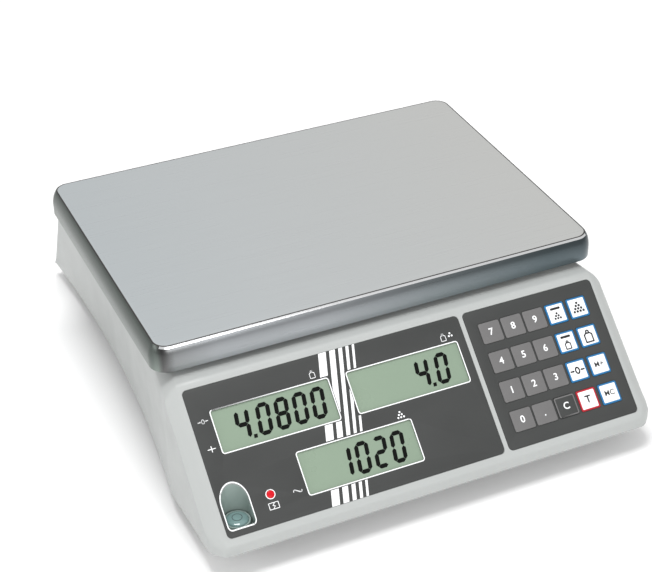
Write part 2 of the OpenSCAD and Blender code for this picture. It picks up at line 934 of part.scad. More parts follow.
module power_switch_frame() {
    color([0.1, 0.1, 0.11])
        translate([switch_x, rocker_pivot_y, pocket_z])
            difference() {
                union() {
                    translate([0, pocket_floor_y - rocker_pivot_y + 1.6, 0])
                        rotate([90, 0, 0])
                            slab(17, 26, 1.6, 1.5);
                    translate([0, pocket_floor_y - rocker_pivot_y + 0.1, 0])
                        rotate([90, 0, 0])
                            slab(15, 24, 17, 0.8);
                    for (z = [-6, 6])
                        translate([-2.4, -19, z - 0.4])
                            cube([4.8, 8, 0.8]);
                }
                translate([-6.5, -10.5, -10.2])
                    cube([13, 30, 20.4]);
                rotate([0, 90, 0])
                    cylinder(r = 1.25, h = 14.6, center = true, $fn = 48);
            }
}

module power_rocker() {
    color([0.14, 0.14, 0.15])
        translate([switch_x, rocker_pivot_y, pocket_z])
            rotate([rocker_tilt, 0, 0]) {
                rotate([90, 0, 90])
                    linear_extrude(rocker_w, center = true)
                        intersection() {
                            circle(rocker_r);
                            polygon([[-4, -12], [5 + 12 * tan(rocker_tilt), -12], [5, 0],
                                     [5 + 12 * tan(rocker_tilt), 12], [-4, 12]]);
                        }
                rotate([0, 90, 0])
                    cylinder(r = 1.2, h = 14.2, center = true, $fn = 48);
            }
}

module dc_inlet() {
    color([0.1, 0.1, 0.11])
        translate([inlet_x, pocket_floor_y, pocket_z])
            rotate([90, 0, 0]) {
                difference() {
                    union() {
                        translate([0, 0, -1])
                            cylinder(r = 7, h = 1);
                        translate([0, 0, -1])
                            cylinder(r = 5.5, h = 6);
                        translate([0, 0, wall + 0.2])
                            slab(14, 14, 11, 1);
                    }
                    translate([0, 0, -2])
                        cylinder(r = 2.8, h = 11.5, $fn = 64);
                }
                translate([0, 0, 1])
                    cylinder(r = 1.05, h = 9, $fn = 48);
            }
}

// Flat leads that end on the main board. They come from the load cell, the display board, the
// keypad board, the battery, the power switch and the socket.
module internal_wiring() {
    board_z = main_board_z + board_t + lead_t / 2;
    color([0.15, 0.15, 0.16]) {
        lead(20, [[31, 36], [42, 36], [60, board_z], [70, board_z]], 6, lead_t);
        lead(32, [[-131.3, 53], [-112, 42], [-100, 16], [52, 16], [62, board_z], [70, board_z]],
             10, lead_t);
        lead(53, [[-148, 41.5], [-135, 34], [-120, 16], [52, 16], [62, board_z], [70, board_z]],
             8, lead_t);
        translate([0, 128, 0])
            rotate([0, 0, -90])
                lead(0, [[-0.5, 60], [6, 60], [6, 27], [12, board_z], [18, board_z]], 6, lead_t);
        lead(95, [[rocker_pivot_y - 19, 44], [132, 44], [124, board_z], [116, board_z]], 3, lead_t);
        lead(inlet_x, [[pocket_floor_y - 14, pocket_z], [135, pocket_z], [130, board_z], [124, board_z]],
             4, lead_t);
    }
}

// ---- feet ----
module foot_pad(i) {
    color([0.13, 0.13, 0.13])
        translate([foot_pos[i][0], foot_pos[i][1], 0])
            difference() {
                cylinder(r = foot_pad_r, h = foot_pad_h);
                for (r = [6, 9.5])
                    translate([0, 0, -eps])
                        difference() {
                            cylinder(r = r + 1, h = 0.8);
                            translate([0, 0, -1])
                                cylinder(r = r, h = 3);
                        }
            }
}

module foot_screw(i) {
    grips = 18;
    color([0.2, 0.2, 0.21])
        translate([foot_pos[i][0], foot_pos[i][1], foot_pad_h])
            difference() {
                union() {
                    cylinder(r = foot_knob_r, h = foot_knob_h);
                    cylinder(r = foot_stud_r, h = 24);
                }
                for (k = [0:grips - 1])
                    rotate([0, 0, k * 360 / grips])
                        translate([foot_knob_r + 0.4, 0, -1])
                            cylinder(r = 1, h = foot_knob_h + 2, $fn = 24);
            }
}

weighing_pan();
pan_pads();
pan_carrier();
carrier_bolts();
load_cell();
load_cell_spacer();
load_cell_bolts();
overload_stops();
chassis_plate();
chassis_screws();
upper_housing();
base_tray();
housing_screws();
display_film();
keypad_film();
for (k = [0:len(KEY_NAMES) - 1])
    key(k);
keypad_board();
key_domes();
lcd(0);  // lcd_weight
lcd(1);  // lcd_unit_weight
lcd(2);  // lcd_pieces
display_board();
board_screws();
main_board();
battery();
battery_cover();
level_body();
level_vial();
charge_led();
for (i = [0:len(FOOT_NAMES) - 1])
    foot_pad(i);
for (i = [0:len(FOOT_NAMES) - 1])
    foot_screw(i);
power_rocker();
power_switch_frame();
dc_inlet();
internal_wiring();
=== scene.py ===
import json
import math

import bmesh
import bpy
from mathutils import Matrix, Vector


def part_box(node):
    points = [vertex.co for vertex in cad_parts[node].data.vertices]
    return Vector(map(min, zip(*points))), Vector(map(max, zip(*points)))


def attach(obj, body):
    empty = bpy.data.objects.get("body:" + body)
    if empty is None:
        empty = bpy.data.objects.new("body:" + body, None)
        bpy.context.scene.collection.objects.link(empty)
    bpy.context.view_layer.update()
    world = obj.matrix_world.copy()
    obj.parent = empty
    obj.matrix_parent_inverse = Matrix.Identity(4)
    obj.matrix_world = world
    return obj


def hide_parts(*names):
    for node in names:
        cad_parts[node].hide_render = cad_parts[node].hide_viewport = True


# Looks of a counting scale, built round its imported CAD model.
#
# Shapes are drawn in millimetres and turned into metres when a mesh is made. Shapes on the front
# panel are drawn in the panel's own axes: x across, y up the slope from the films' top edge, and z
# out of the panel.

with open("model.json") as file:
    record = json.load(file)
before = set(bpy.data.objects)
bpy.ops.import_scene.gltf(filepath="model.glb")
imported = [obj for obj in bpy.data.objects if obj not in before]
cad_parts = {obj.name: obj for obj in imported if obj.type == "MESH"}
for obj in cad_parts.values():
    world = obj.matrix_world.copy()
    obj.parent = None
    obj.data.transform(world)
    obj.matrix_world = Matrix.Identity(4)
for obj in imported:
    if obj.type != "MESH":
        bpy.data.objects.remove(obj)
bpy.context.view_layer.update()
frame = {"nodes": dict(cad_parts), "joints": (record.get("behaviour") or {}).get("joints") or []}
scene = bpy.context.scene
MM = 0.001
JOINTS = {j["name"]: j for j in frame["joints"]}


def box_mm(node):
    """Lowest and highest corner of a CAD node in millimetres."""
    lo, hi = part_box(node)
    return lo / MM, hi / MM


# ---------------------------------------------------------------- sizes, in millimetres

PAN_LO, PAN_HI = box_mm("weighing_pan")
PAN_HALF_W = PAN_HI.x
PAN_SHEET = 1.2
PAN_CORNER_R = 12.0
# The top face's rings, each (inset from the rim, drop below the highest level)
PAN_TOP_RINGS = ((80, 0.09), (40, 0.045), (20, 0.0), (9, 0.0))
# The skirt flares from the top face's fold to the rim, and is steeper lower down
PAN_FLARE = 3.0
PAN_FLARE_H = 10.0
PAN_FOLD_ANGLE = 35
PAN_FOLD_W = 0.9
PAN_FOLD_DROP = 0.12
PAN_RIM_R = 0.6

SHELL_LO, SHELL_HI = box_mm("upper_housing")
FRONT_Y = SHELL_LO.y
REAR_Y = SHELL_HI.y
BASE_Z = SHELL_LO.z
DECK_Z = SHELL_HI.z
HALF_W = SHELL_HI.x
SHELL_T = 2.8
WAIST_HALF_W = 134.2
WAIST_Y = 85.0
BEND_Y = -103.0
SIDE_LEAN = 0.012
REAR_LEAN = 0.37
PLAN_R = 13.0
REAR_TOP_R = 12.0
DECK_FRONT_R = 5.0
CREASE_R = 3.5
LIP_H = 2.2
LOW_EDGE_R = 1.6
# The flattened edge between top and side: over the rear deck, beside the panel and at the crease
FACET_REAR, FACET_PANEL, FACET_CREASE = 5.0, 8.5, 2.2
FACET_RISE = 14.0
# How flat that edge is: 0 is round, 1 is a plain facet
FACET = 0.65

FILM_T = 0.6
PRESS = Vector(JOINTS["key_7_press"]["axis"])
SLOPE_SIN, SLOPE_COS = PRESS.y, -PRESS.z
FILM_LO, FILM_HI = box_mm("keypad_film")
PANEL_ORIGIN = Vector((0, FILM_HI.y - FILM_T * SLOPE_SIN, FILM_HI.z))
PANEL = Matrix((
    (1, 0, 0, 0),
    (0, SLOPE_COS, -SLOPE_SIN, PANEL_ORIGIN.y),
    (0, SLOPE_SIN, SLOPE_COS, PANEL_ORIGIN.z),
    (0, 0, 0, 1),
))
FILM_H = 90.6
FILM_R = 3.0
DISPLAY_FILM_X = (box_mm("display_film")[0].x, box_mm("display_film")[1].x)
KEYPAD_FILM_X = (FILM_LO.x, FILM_HI.x)
FILM_TOP = 0.05
FILM_EDGE_R = 0.06
FILM_GAP = 0.5
LCD_NAMES = ("lcd_weight", "lcd_unit_weight", "lcd_pieces")
LCD_WINDOW = (75.0, 26.0)
LCD_GLASS = (80.6, 30.6)
LCD_GLASS_T = 5.4
LCD_N = -0.7
PRINT_Z = (0.03, 0.14)

# Heights of a key's layers above the film's plane
NIB_LOW, FLANGE_LOW, FLANGE_TOP, CAP_TOP, FIELD_LOW, FIELD_TOP = -2.59, -1.64, -0.85, 0.4, 0.35, 0.46
LEGEND_T = 0.08

WELL_LO, WELL_HI = box_mm("level_body")
WELL_X = (WELL_LO.x + WELL_HI.x) / 2
LEVEL_Y = (WELL_LO.y + WELL_HI.y) / 2
WELL_FLOOR_Z = WELL_LO.z
WELL_WALL_T = 1.6
WELL_R = 8.4
WELL_BACK_Y = -152.2
WELL_FRONT_Y = -171.9
WELL_FRONT_R = 2.0


# ---------------------------------------------------------------- materials

class Finish:
    """A procedural material, built up by adding noise to its colour, roughness and bump."""

    def __init__(self, name, base, rough, metallic=0.0, **sockets):
        self.mat = bpy.data.materials.new(name)
        self.mat.use_nodes = True
        self.tree = self.mat.node_tree
        self.bsdf = self.tree.nodes["Principled BSDF"]
        self.base = (*base, 1.0)
        self.bsdf.inputs["Base Color"].default_value = self.base
        self.bsdf.inputs["Roughness"].default_value = rough
        self.bsdf.inputs["Metallic"].default_value = metallic
        for socket, value in sockets.items():
            self.bsdf.inputs[socket.replace("_", " ")].default_value = value
        self.coords = self.tree.nodes.new("ShaderNodeTexCoord")
        self.bump = None

    def noise(self, size, stretch=(1, 1, 1), detail=4.0):
        """Noise whose grain is size millimetres, longer along an axis where stretch is above 1."""
        mapping = self.tree.nodes.new("ShaderNodeMapping")
        mapping.vector_type = "TEXTURE"
        mapping.inputs["Scale"].default_value = [size * MM * s for s in stretch]
        self.tree.links.new(self.coords.outputs["Object"], mapping.inputs["Vector"])
        texture = self.tree.nodes.new("ShaderNodeTexNoise")
        texture.inputs["Scale"].default_value = 1.0
        texture.inputs["Detail"].default_value = detail
        self.tree.links.new(mapping.outputs["Vector"], texture.inputs["Vector"])
        return texture.outputs["Fac"]

    def ranged(self, value, low, high, start=0.3, end=0.7):
        """A value that runs from start to end, spread between low and high."""
        node = self.tree.nodes.new("ShaderNodeMapRange")
        self.tree.links.new(value, node.inputs["Value"])
        for socket, number in zip(("From Min", "From Max", "To Min", "To Max"), (start, end, low, high)):
            node.inputs[socket].default_value = number
        return node.outputs["Result"]

    def mottle(self, amount, size, stretch=(1, 1, 1)):
        """Colour that varies by amount about the base."""
        mix = self.tree.nodes.new("ShaderNodeMix")
        mix.data_type = "RGBA"
        factor, a, b = mix.inputs["Factor"], mix.inputs[6], mix.inputs[7]
        a.default_value = [min(1.0, c * (1 + amount)) for c in self.base[:3]] + [1.0]
        b.default_value = [c * (1 - amount) for c in self.base[:3]] + [1.0]
        self.tree.links.new(self.ranged(self.noise(size, stretch), 0, 1), factor)
        self.tree.links.new(mix.outputs[2], self.bsdf.inputs["Base Color"])
        return self

    def place(self, axis):
        """The place along an axis, in metres."""
        split = self.tree.nodes.new("ShaderNodeSeparateXYZ")
        self.tree.links.new(self.coords.outputs["Object"], split.inputs["Vector"])
        return split.outputs[axis]

    def across(self, half, stops):
        """Colour that changes from left to right: each stop is (x in millimetres, colour)."""
        ramp = self.tree.nodes.new("ShaderNodeValToRGB")
        self.tree.links.new(self.ranged(self.place("X"), 0, 1, -half * MM, half * MM), ramp.inputs["Fac"])
        ramp.color_ramp.elements.remove(ramp.color_ramp.elements[1])
        for k, (x, colour) in enumerate(stops):
            at = (x + half) / (2 * half)
            element = ramp.color_ramp.elements[0] if k == 0 else ramp.color_ramp.elements.new(at)
            element.position = at
            element.color = (*colour, 1.0)
        self.tree.links.new(ramp.outputs["Color"], self.bsdf.inputs["Base Color"])
        return self

    def by_height(self, low, high, lower, upper):
        """Scales the colour set by across: by lower at the height low, by upper at high, in millimetres."""
        scaled = self.tree.nodes.new("ShaderNodeVectorMath")
        scaled.operation = "SCALE"
        colour = self.bsdf.inputs["Base Color"]
        self.tree.links.new(colour.links[0].from_socket, scaled.inputs["Vector"])
        factor = self.ranged(self.place("Z"), lower, upper, low * MM, high * MM)
        self.tree.links.new(factor, scaled.inputs["Scale"])
        self.tree.links.new(scaled.outputs["Vector"], colour)
        return self

    def rough_between(self, low, high, size, stretch=(1, 1, 1)):
        self.tree.links.new(self.ranged(self.noise(size, stretch), low, high), self.bsdf.inputs["Roughness"])
        return self

    def bumps(self, height, size, stretch=(1, 1, 1), detail=4.0):
        """Adds a layer of bump, height in millimetres."""
        node = self.tree.nodes.new("ShaderNodeBump")
        node.inputs["Distance"].default_value = height * MM
        self.tree.links.new(self.noise(size, stretch, detail), node.inputs["Height"])
        if self.bump is not None:
            self.tree.links.new(self.bump.outputs["Normal"], node.inputs["Normal"])
        self.tree.links.new(node.outputs["Normal"], self.bsdf.inputs["Normal"])
        self.bump = node
        return self


def grey(value):
    return (value, value, value)


HOUSING = Finish("housing_plastic", (0.420, 0.435, 0.428), 0.42, Specular_IOR_Level=0.4)
HOUSING.mottle(0.015, 45).rough_between(0.36, 0.48, 18).bumps(0.03, 0.45, detail=2).bumps(0.05, 60)
TRAY = Finish("tray_plastic", (0.40, 0.405, 0.40), 0.5)
TRAY.mottle(0.03, 30).rough_between(0.44, 0.58, 12).bumps(0.03, 0.6)
STEEL = Finish("pan_steel", (0.57, 0.59, 0.59), 0.3, metallic=1.0)
# Painted reflection: the pan's top is darker and bluer to the left and lighter and warmer to the right
STEEL.across(PAN_HALF_W, [
    (-150, (0.715, 0.765, 0.785)), (-60, (0.755, 0.79, 0.80)), (150, (0.805, 0.81, 0.79)),
])
STEEL.rough_between(0.27, 0.33, 0.5, (160, 1, 1)).bumps(0.0012, 0.3, (300, 1, 1), detail=3).bumps(0.01, 120)
# Painted highlight: a bright band along the front and back edges just below the fold
STEEL_HIGHLIGHT = Finish("pan_steel_painted_highlight", (0.92, 0.93, 0.94), 0.2, metallic=1.0)
STEEL_HIGHLIGHT.mottle(0.03, 1.2, (120, 1, 1)).rough_between(0.17, 0.24, 0.7, (160, 1, 1)).bumps(0.01, 120)
# Painted shade: a dark line along the fold between the pan's top and its skirt
STEEL_FOLD_SHADE = Finish("pan_steel_fold_painted_shade", (0.085, 0.080, 0.078), 0.4, metallic=1.0)
STEEL_FOLD_SHADE.mottle(0.1, 1.2, (120, 1, 1)).bumps(0.01, 120)
STEEL_SKIRT_REFLECTION = Finish("pan_steel_skirt_painted_reflection", (0.3, 0.3, 0.3), 0.3, metallic=1.0)
# Painted reflection and shade: the skirt's colour stands in for what it mirrors round the scale, so it
# changes along it, with dark bands at the left corner, and up it
STEEL_SKIRT_REFLECTION.across(PAN_HALF_W, [
    (-150, (0.085, 0.100, 0.092)), (-147, (0.165, 0.190, 0.175)), (-144.5, grey(0.08)),
    (-142.5, grey(0.11)), (-137, (0.26, 0.27, 0.275)), (-110, (0.335, 0.350, 0.365)),
    (-40, (0.315, 0.33, 0.345)), (40, (0.19, 0.215, 0.225)), (115, (0.10, 0.125, 0.135)),
    (150, (0.09, 0.11, 0.12)),
])
# Painted shade: lighter near the rim and darker towards the top of the skirt
STEEL_SKIRT_REFLECTION.by_height(PAN_LO.z + 1, PAN_HI.z - 4, 1.5, 0.7)
STEEL_SKIRT_REFLECTION.rough_between(0.27, 0.33, 0.7, (160, 1, 1))
STEEL_SKIRT_REFLECTION.bumps(0.0012, 0.3, (300, 1, 1), detail=3).bumps(0.01, 120)
FILM = Finish("film_dark_grey", (0.044, 0.046, 0.045), 0.5, Specular_IOR_Level=0.35)
FILM.mottle(0.05, 35).rough_between(0.45, 0.56, 10).bumps(0.008, 0.25, detail=1)
INK_WHITE = Finish("ink_white", (0.90, 0.91, 0.92), 0.55).mottle(0.02, 3).bumps(0.004, 0.3)
INK_BLUE = Finish("ink_blue", (0.008, 0.15, 0.36), 0.5).mottle(0.04, 3).bumps(0.004, 0.3)
INK_RED = Finish("ink_red", (0.44, 0.007, 0.020), 0.5).mottle(0.04, 3).bumps(0.004, 0.3)
INK_BLACK = Finish("ink_black", (0.012, 0.012, 0.013), 0.5).mottle(0.2, 3).bumps(0.004, 0.3)
KEY_GREY = Finish("key_grey", (0.146, 0.143, 0.143), 0.5, Specular_IOR_Level=0.4)
KEY_GREY.mottle(0.03, 8).rough_between(0.44, 0.56, 4).bumps(0.008, 0.25, detail=1)
KEY_WHITE = Finish("key_white", (0.90, 0.91, 0.92), 0.45)
KEY_WHITE.mottle(0.015, 8).rough_between(0.40, 0.52, 4).bumps(0.008, 0.25, detail=1)
LCD = Finish("lcd_face", (0.232, 0.305, 0.228), 0.28, Coat_Weight=0.25, Coat_Roughness=0.12)
LCD.mottle(0.015, 40).rough_between(0.27, 0.31, 12).bumps(0.001, 0.4)
SEGMENT = Finish("lcd_segment", (0.004, 0.005, 0.004), 0.5, Specular_IOR_Level=0.08)
SEGMENT.mottle(0.15, 2).bumps(0.002, 0.3)
RUBBER = Finish("rubber_black", (0.022, 0.022, 0.022), 0.72)
RUBBER.mottle(0.15, 6).rough_between(0.62, 0.82, 4).bumps(0.05, 0.5)
CAST = Finish("cast_aluminium", (0.50, 0.505, 0.51), 0.45, metallic=1.0)
CAST.mottle(0.06, 9).rough_between(0.38, 0.56, 5).bumps(0.12, 1.2)
ANODISED = Finish("anodised_aluminium", (0.66, 0.67, 0.68), 0.32, metallic=1.0)
ANODISED.mottle(0.03, 12).rough_between(0.27, 0.38, 6).bumps(0.01, 0.3, (40, 1, 1))
ZINC = Finish("zinc_steel", (0.50, 0.50, 0.49), 0.36, metallic=1.0)
ZINC.mottle(0.08, 5).rough_between(0.28, 0.45, 3).bumps(0.02, 0.8)
BOARD = Finish("circuit_board", (0.015, 0.095, 0.045), 0.35, Coat_Weight=0.4, Coat_Roughness=0.2)
BOARD.mottle(0.25, 3.5).rough_between(0.28, 0.45, 2).bumps(0.02, 1.0)
DOME = Finish("dome_steel", (0.68, 0.66, 0.58), 0.25, metallic=1.0)
DOME.mottle(0.05, 3).rough_between(0.2, 0.32, 2).bumps(0.01, 0.5)
BATTERY = Finish("battery_case", (0.030, 0.031, 0.034), 0.5)
BATTERY.mottle(0.12, 15).rough_between(0.44, 0.6, 8).bumps(0.03, 0.7)
BLACK = Finish("black_moulding", (0.020, 0.020, 0.021), 0.34)
BLACK.mottle(0.12, 8).rough_between(0.28, 0.42, 5).bumps(0.02, 0.5)
CABLE = Finish("cable_black", (0.018, 0.018, 0.020), 0.55)
CABLE.mottle(0.15, 5).rough_between(0.48, 0.64, 4).bumps(0.02, 0.6)
# Painted shade: the level well's walls are darker than the housing around them, as shade inside the recess,
# and tinted teal
WELL_WALL_SHADE = Finish("well_wall_painted_shade", (0.280, 0.345, 0.322), 0.4)
WELL_WALL_SHADE.mottle(0.08, 9).rough_between(0.34, 0.46, 6).bumps(0.03, 0.6)
CLEAR_RING = Finish("level_ring", (0.27, 0.345, 0.325), 0.3, Coat_Weight=0.3)
CLEAR_RING.mottle(0.04, 4).rough_between(0.24, 0.36, 3).bumps(0.01, 0.6)
SPIRIT = Finish("level_spirit", (0.17, 0.27, 0.265), 0.1, Coat_Weight=0.6, Coat_Roughness=0.05)
SPIRIT.mottle(0.08, 5).bumps(0.004, 2.0)
LAMP = Finish("lamp_red", (0.50, 0.003, 0.010), 0.35, Emission_Strength=0.12, Specular_IOR_Level=0.25)
LAMP.bsdf.inputs["Emission Color"].default_value = (1.0, 0.01, 0.03, 1.0)
LAMP.mottle(0.06, 1.5).bumps(0.004, 0.6)

NODE_FINISH = {
    "pan_pads": RUBBER, "pan_carrier": CAST, "carrier_bolts": ZINC, "load_cell": ANODISED,
    "load_cell_spacer": ZINC, "load_cell_bolts": ZINC, "overload_stops": ZINC, "chassis_plate": ZINC,
    "chassis_screws": ZINC, "base_tray": TRAY, "housing_screws": ZINC, "keypad_board": BOARD,
    "key_domes": DOME, "lcd_weight": LCD, "lcd_unit_weight": LCD, "lcd_pieces": LCD,
    "display_board": BOARD, "board_screws": ZINC, "main_board": BOARD, "battery": BATTERY,
    "battery_cover": TRAY, "level_body": CLEAR_RING, "level_vial": SPIRIT, "charge_led": LAMP,
    "power_rocker": BLACK, "power_switch_frame": BLACK, "dc_inlet": BLACK, "internal_wiring": CABLE,
    "weighing_pan": STEEL, "upper_housing": HOUSING, "display_film": FILM, "keypad_film": FILM,
}


def finish_of(node):
    if node in NODE_FINISH:
        return NODE_FINISH[node]
    if node.startswith("foot_pad"):
        return RUBBER
    if node.startswith("foot_screw"):
        return BLACK
    return KEY_GREY


for name, node in frame["nodes"].items():
    node.data.materials.clear()
    node.data.materials.append(finish_of(name).mat)


# ---------------------------------------------------------------- mesh helpers

def add_object(name, mesh, body, replaces=()):
    """Links a mesh drawn in metres as a piece that rides on a CAD body."""
    obj = bpy.data.objects.new(name, mesh)
    scene.collection.objects.link(obj)
    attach(obj, body)
    if replaces:
        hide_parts(*replaces)
    return obj


def mesh_of(name, points, faces, finishes, face_finish=None, smooth=40):
    """A mesh from points in millimetres, in the row frame."""
    mesh = bpy.data.meshes.new(name)
    mesh.from_pydata([Vector(p) * MM for p in points], [], faces)
    for finish in finishes:
        mesh.materials.append(finish.mat)
    if face_finish:
        mesh.polygons.foreach_set("material_index", face_finish)
    tidy(mesh)
    shade(mesh, smooth)
    return mesh


def tidy(mesh):
    bm = bmesh.new()
    bm.from_mesh(mesh)
    bmesh.ops.remove_doubles(bm, verts=bm.verts, dist=1e-7)
    bmesh.ops.dissolve_degenerate(bm, edges=bm.edges, dist=1e-7)
    bmesh.ops.recalc_face_normals(bm, faces=bm.faces)
    bm.to_mesh(mesh)
    bm.free()


def shade(mesh, angle):
    """Smooth shading with sharp edges above an angle in degrees."""
    mesh.polygons.foreach_set("use_smooth", [True] * len(mesh.polygons))
    mesh.set_sharp_from_angle(angle=math.radians(angle))


def applied(mesh, modifiers):
    """The mesh with modifiers applied. Each modifier is (type, {setting: value})."""
    temp = bpy.data.objects.new("temp", mesh)
    scene.collection.objects.link(temp)
    for kind, settings in modifiers:
        modifier = temp.modifiers.new(kind, kind)
        for setting, value in settings.items():
            setattr(modifier, setting, value)
    graph = bpy.context.evaluated_depsgraph_get()
    result = bpy.data.meshes.new_from_object(temp.evaluated_get(graph))
    bpy.data.objects.remove(temp)
    return result


def cut(mesh, cutters):
    """The mesh with the cutter meshes taken away from it."""
    for cutter in cutters:
        tool = bpy.data.objects.new("tool", cutter)
        scene.collection.objects.link(tool)
        mesh = applied(mesh, [("BOOLEAN", {"object": tool, "operation": "DIFFERENCE", "solver": "EXACT"})])
        bpy.data.objects.remove(tool)
    return mesh


def rounded_loop(w, d, r, steps=8, centre=(0, 0)):
    """Points of a rounded rectangle, anticlockwise."""
    points = []
    for corner, (sx, sy) in enumerate(((1, 1), (-1, 1), (-1, -1), (1, -1))):
        for i in range(steps + 1):
            a = math.radians(90 * corner + 90 * i / steps)
            points.append((centre[0] + sx * (w / 2 - r) + r * math.cos(a),
                           centre[1] + sy * (d / 2 - r) + r * math.sin(a)))
    return points


def circle_loop(r, steps=32, centre=(0, 0)):
    return arc(centre, r, 0, 360, steps)[:-1]


def arc(centre, radius, start, end, steps):
    """Points of an arc between two angles in degrees, both ends included."""
    angles = [math.radians(start + (end - start) * i / steps) for i in range(steps + 1)]
    return [(centre[0] + radius * math.cos(a), centre[1] + radius * math.sin(a)) for a in angles]


def prism(name, loop, z0, z1, finish=HOUSING):
    """A closed prism on an anticlockwise loop."""
    n = len(loop)
    points = [(x, y, z0) for x, y in loop] + [(x, y, z1) for x, y in loop]
    faces = [tuple(reversed(range(n))), tuple(range(n, 2 * n))]
    faces += [(i, (i + 1) % n, n + (i + 1) % n, n + i) for i in range(n)]
    return mesh_of(name, points, faces, [finish])


def plate(name, outline, z0, z1, bevel, finish, holes=(), bevel_steps=2):
    """A flat plate with rounded edges, from 2-D loops, as a mesh in millimetres along z0 to z1."""
    curve = bpy.data.curves.new(name, "CURVE")
    curve.dimensions = "2D"
    curve.fill_mode = "BOTH"
    curve.extrude = (z1 - z0) / 2 - bevel
    curve.bevel_depth = bevel
    curve.bevel_resolution = bevel_steps
    curve.offset = -bevel
    for loop in [outline, *holes]:
        spline = curve.splines.new("POLY")
        spline.points.add(len(loop) - 1)
        for point, (x, y) in zip(spline.points, loop):
            point.co = (x, y, 0, 1)
        spline.use_cyclic_u = True
    mesh = applied(curve, [])
    mesh.transform(Matrix.Translation((0, 0, (z0 + z1) / 2)))
    mesh.materials.clear()
    mesh.materials.append(finish.mat)
    return mesh


def letters(text, size, finish, weight=0.1):
    """Generic characters as a mesh in millimetres, centred on the origin."""
    curve = bpy.data.curves.new("letters", "FONT")
    curve.body = text
    curve.size = size
    curve.align_x = "CENTER"
    curve.align_y = "CENTER"
    curve.extrude = LEGEND_T / 2
    curve.offset = weight
    curve.space_character = 1.02
    mesh = applied(curve, [])
    mesh.materials.clear()
    mesh.materials.append(finish.mat)
    return mesh


def moved(mesh, x=0.0, y=0.0, z=0.0, turn=0.0):
    mesh.transform(Matrix.Translation((x, y, z)) @ Matrix.Rotation(math.radians(turn), 4, "Z"))
    return mesh


def merged(name, meshes):
    """One mesh out of several, keeping their materials."""
    result = bpy.data.meshes.new(name)
    bm = bmesh.new()
    for mesh in meshes:
        slots = []
        for material in mesh.materials:
            if material.name not in result.materials:
                result.materials.append(material)
            slots.append(result.materials.find(material.name))
        start = len(bm.faces)
        bm.from_mesh(mesh)
        bm.faces.ensure_lookup_table()
        for face in bm.faces[start:]:
            face.material_index = slots[face.material_index] if slots else 0
    bm.to_mesh(result)
    bm.free()
    return result


def on_panel(mesh):
    """Takes a mesh drawn in millimetres in the panel's axes to the row frame, in metres."""
    mesh.transform(Matrix.Scale(MM, 4) @ PANEL)
    tidy(mesh)
    shade(mesh, 35)
    return mesh


def polygons(name, shapes, z0, z1, finish):
    """Flat shapes drawn as closed thin prisms, each from an anticlockwise loop."""
    points, faces = [], []
    for loop in shapes:
        n, start = len(loop), len(points)
        points += [(x, y, z0) for x, y in loop] + [(x, y, z1) for x, y in loop]
        faces.append(tuple(start + i for i in reversed(range(n))))
        faces.append(tuple(start + n + i for i in range(n)))
        faces += [(start + i, start + (i + 1) % n, start + n + (i + 1) % n, start + n + i) for i in range(n)]
    mesh = bpy.data.meshes.new(name)
    mesh.from_pydata(points, [], faces)
    mesh.materials.append(finish.mat)
    return mesh


def stroke(a, b, width):
    """A straight line of some width as a loop."""
    a, b = Vector(a), Vector(b)
    along = (b - a).normalized()
    side = Vector((-along.y, along.x)) * width / 2
    return [tuple(corner) for corner in (a - side, b - side, b + side, a + side)]


def path(points, width, closed=False):
    """A line through points as one stroke for each stretch, with round joints."""
    ends = list(zip(points, points[1:])) + ([(points[-1], points[0])] if closed else [])
    return [stroke(a, b, width) for a, b in ends] + [circle_loop(width / 2, 10, p) for p in points]


# ---------------------------------------------------------------- weighing pan

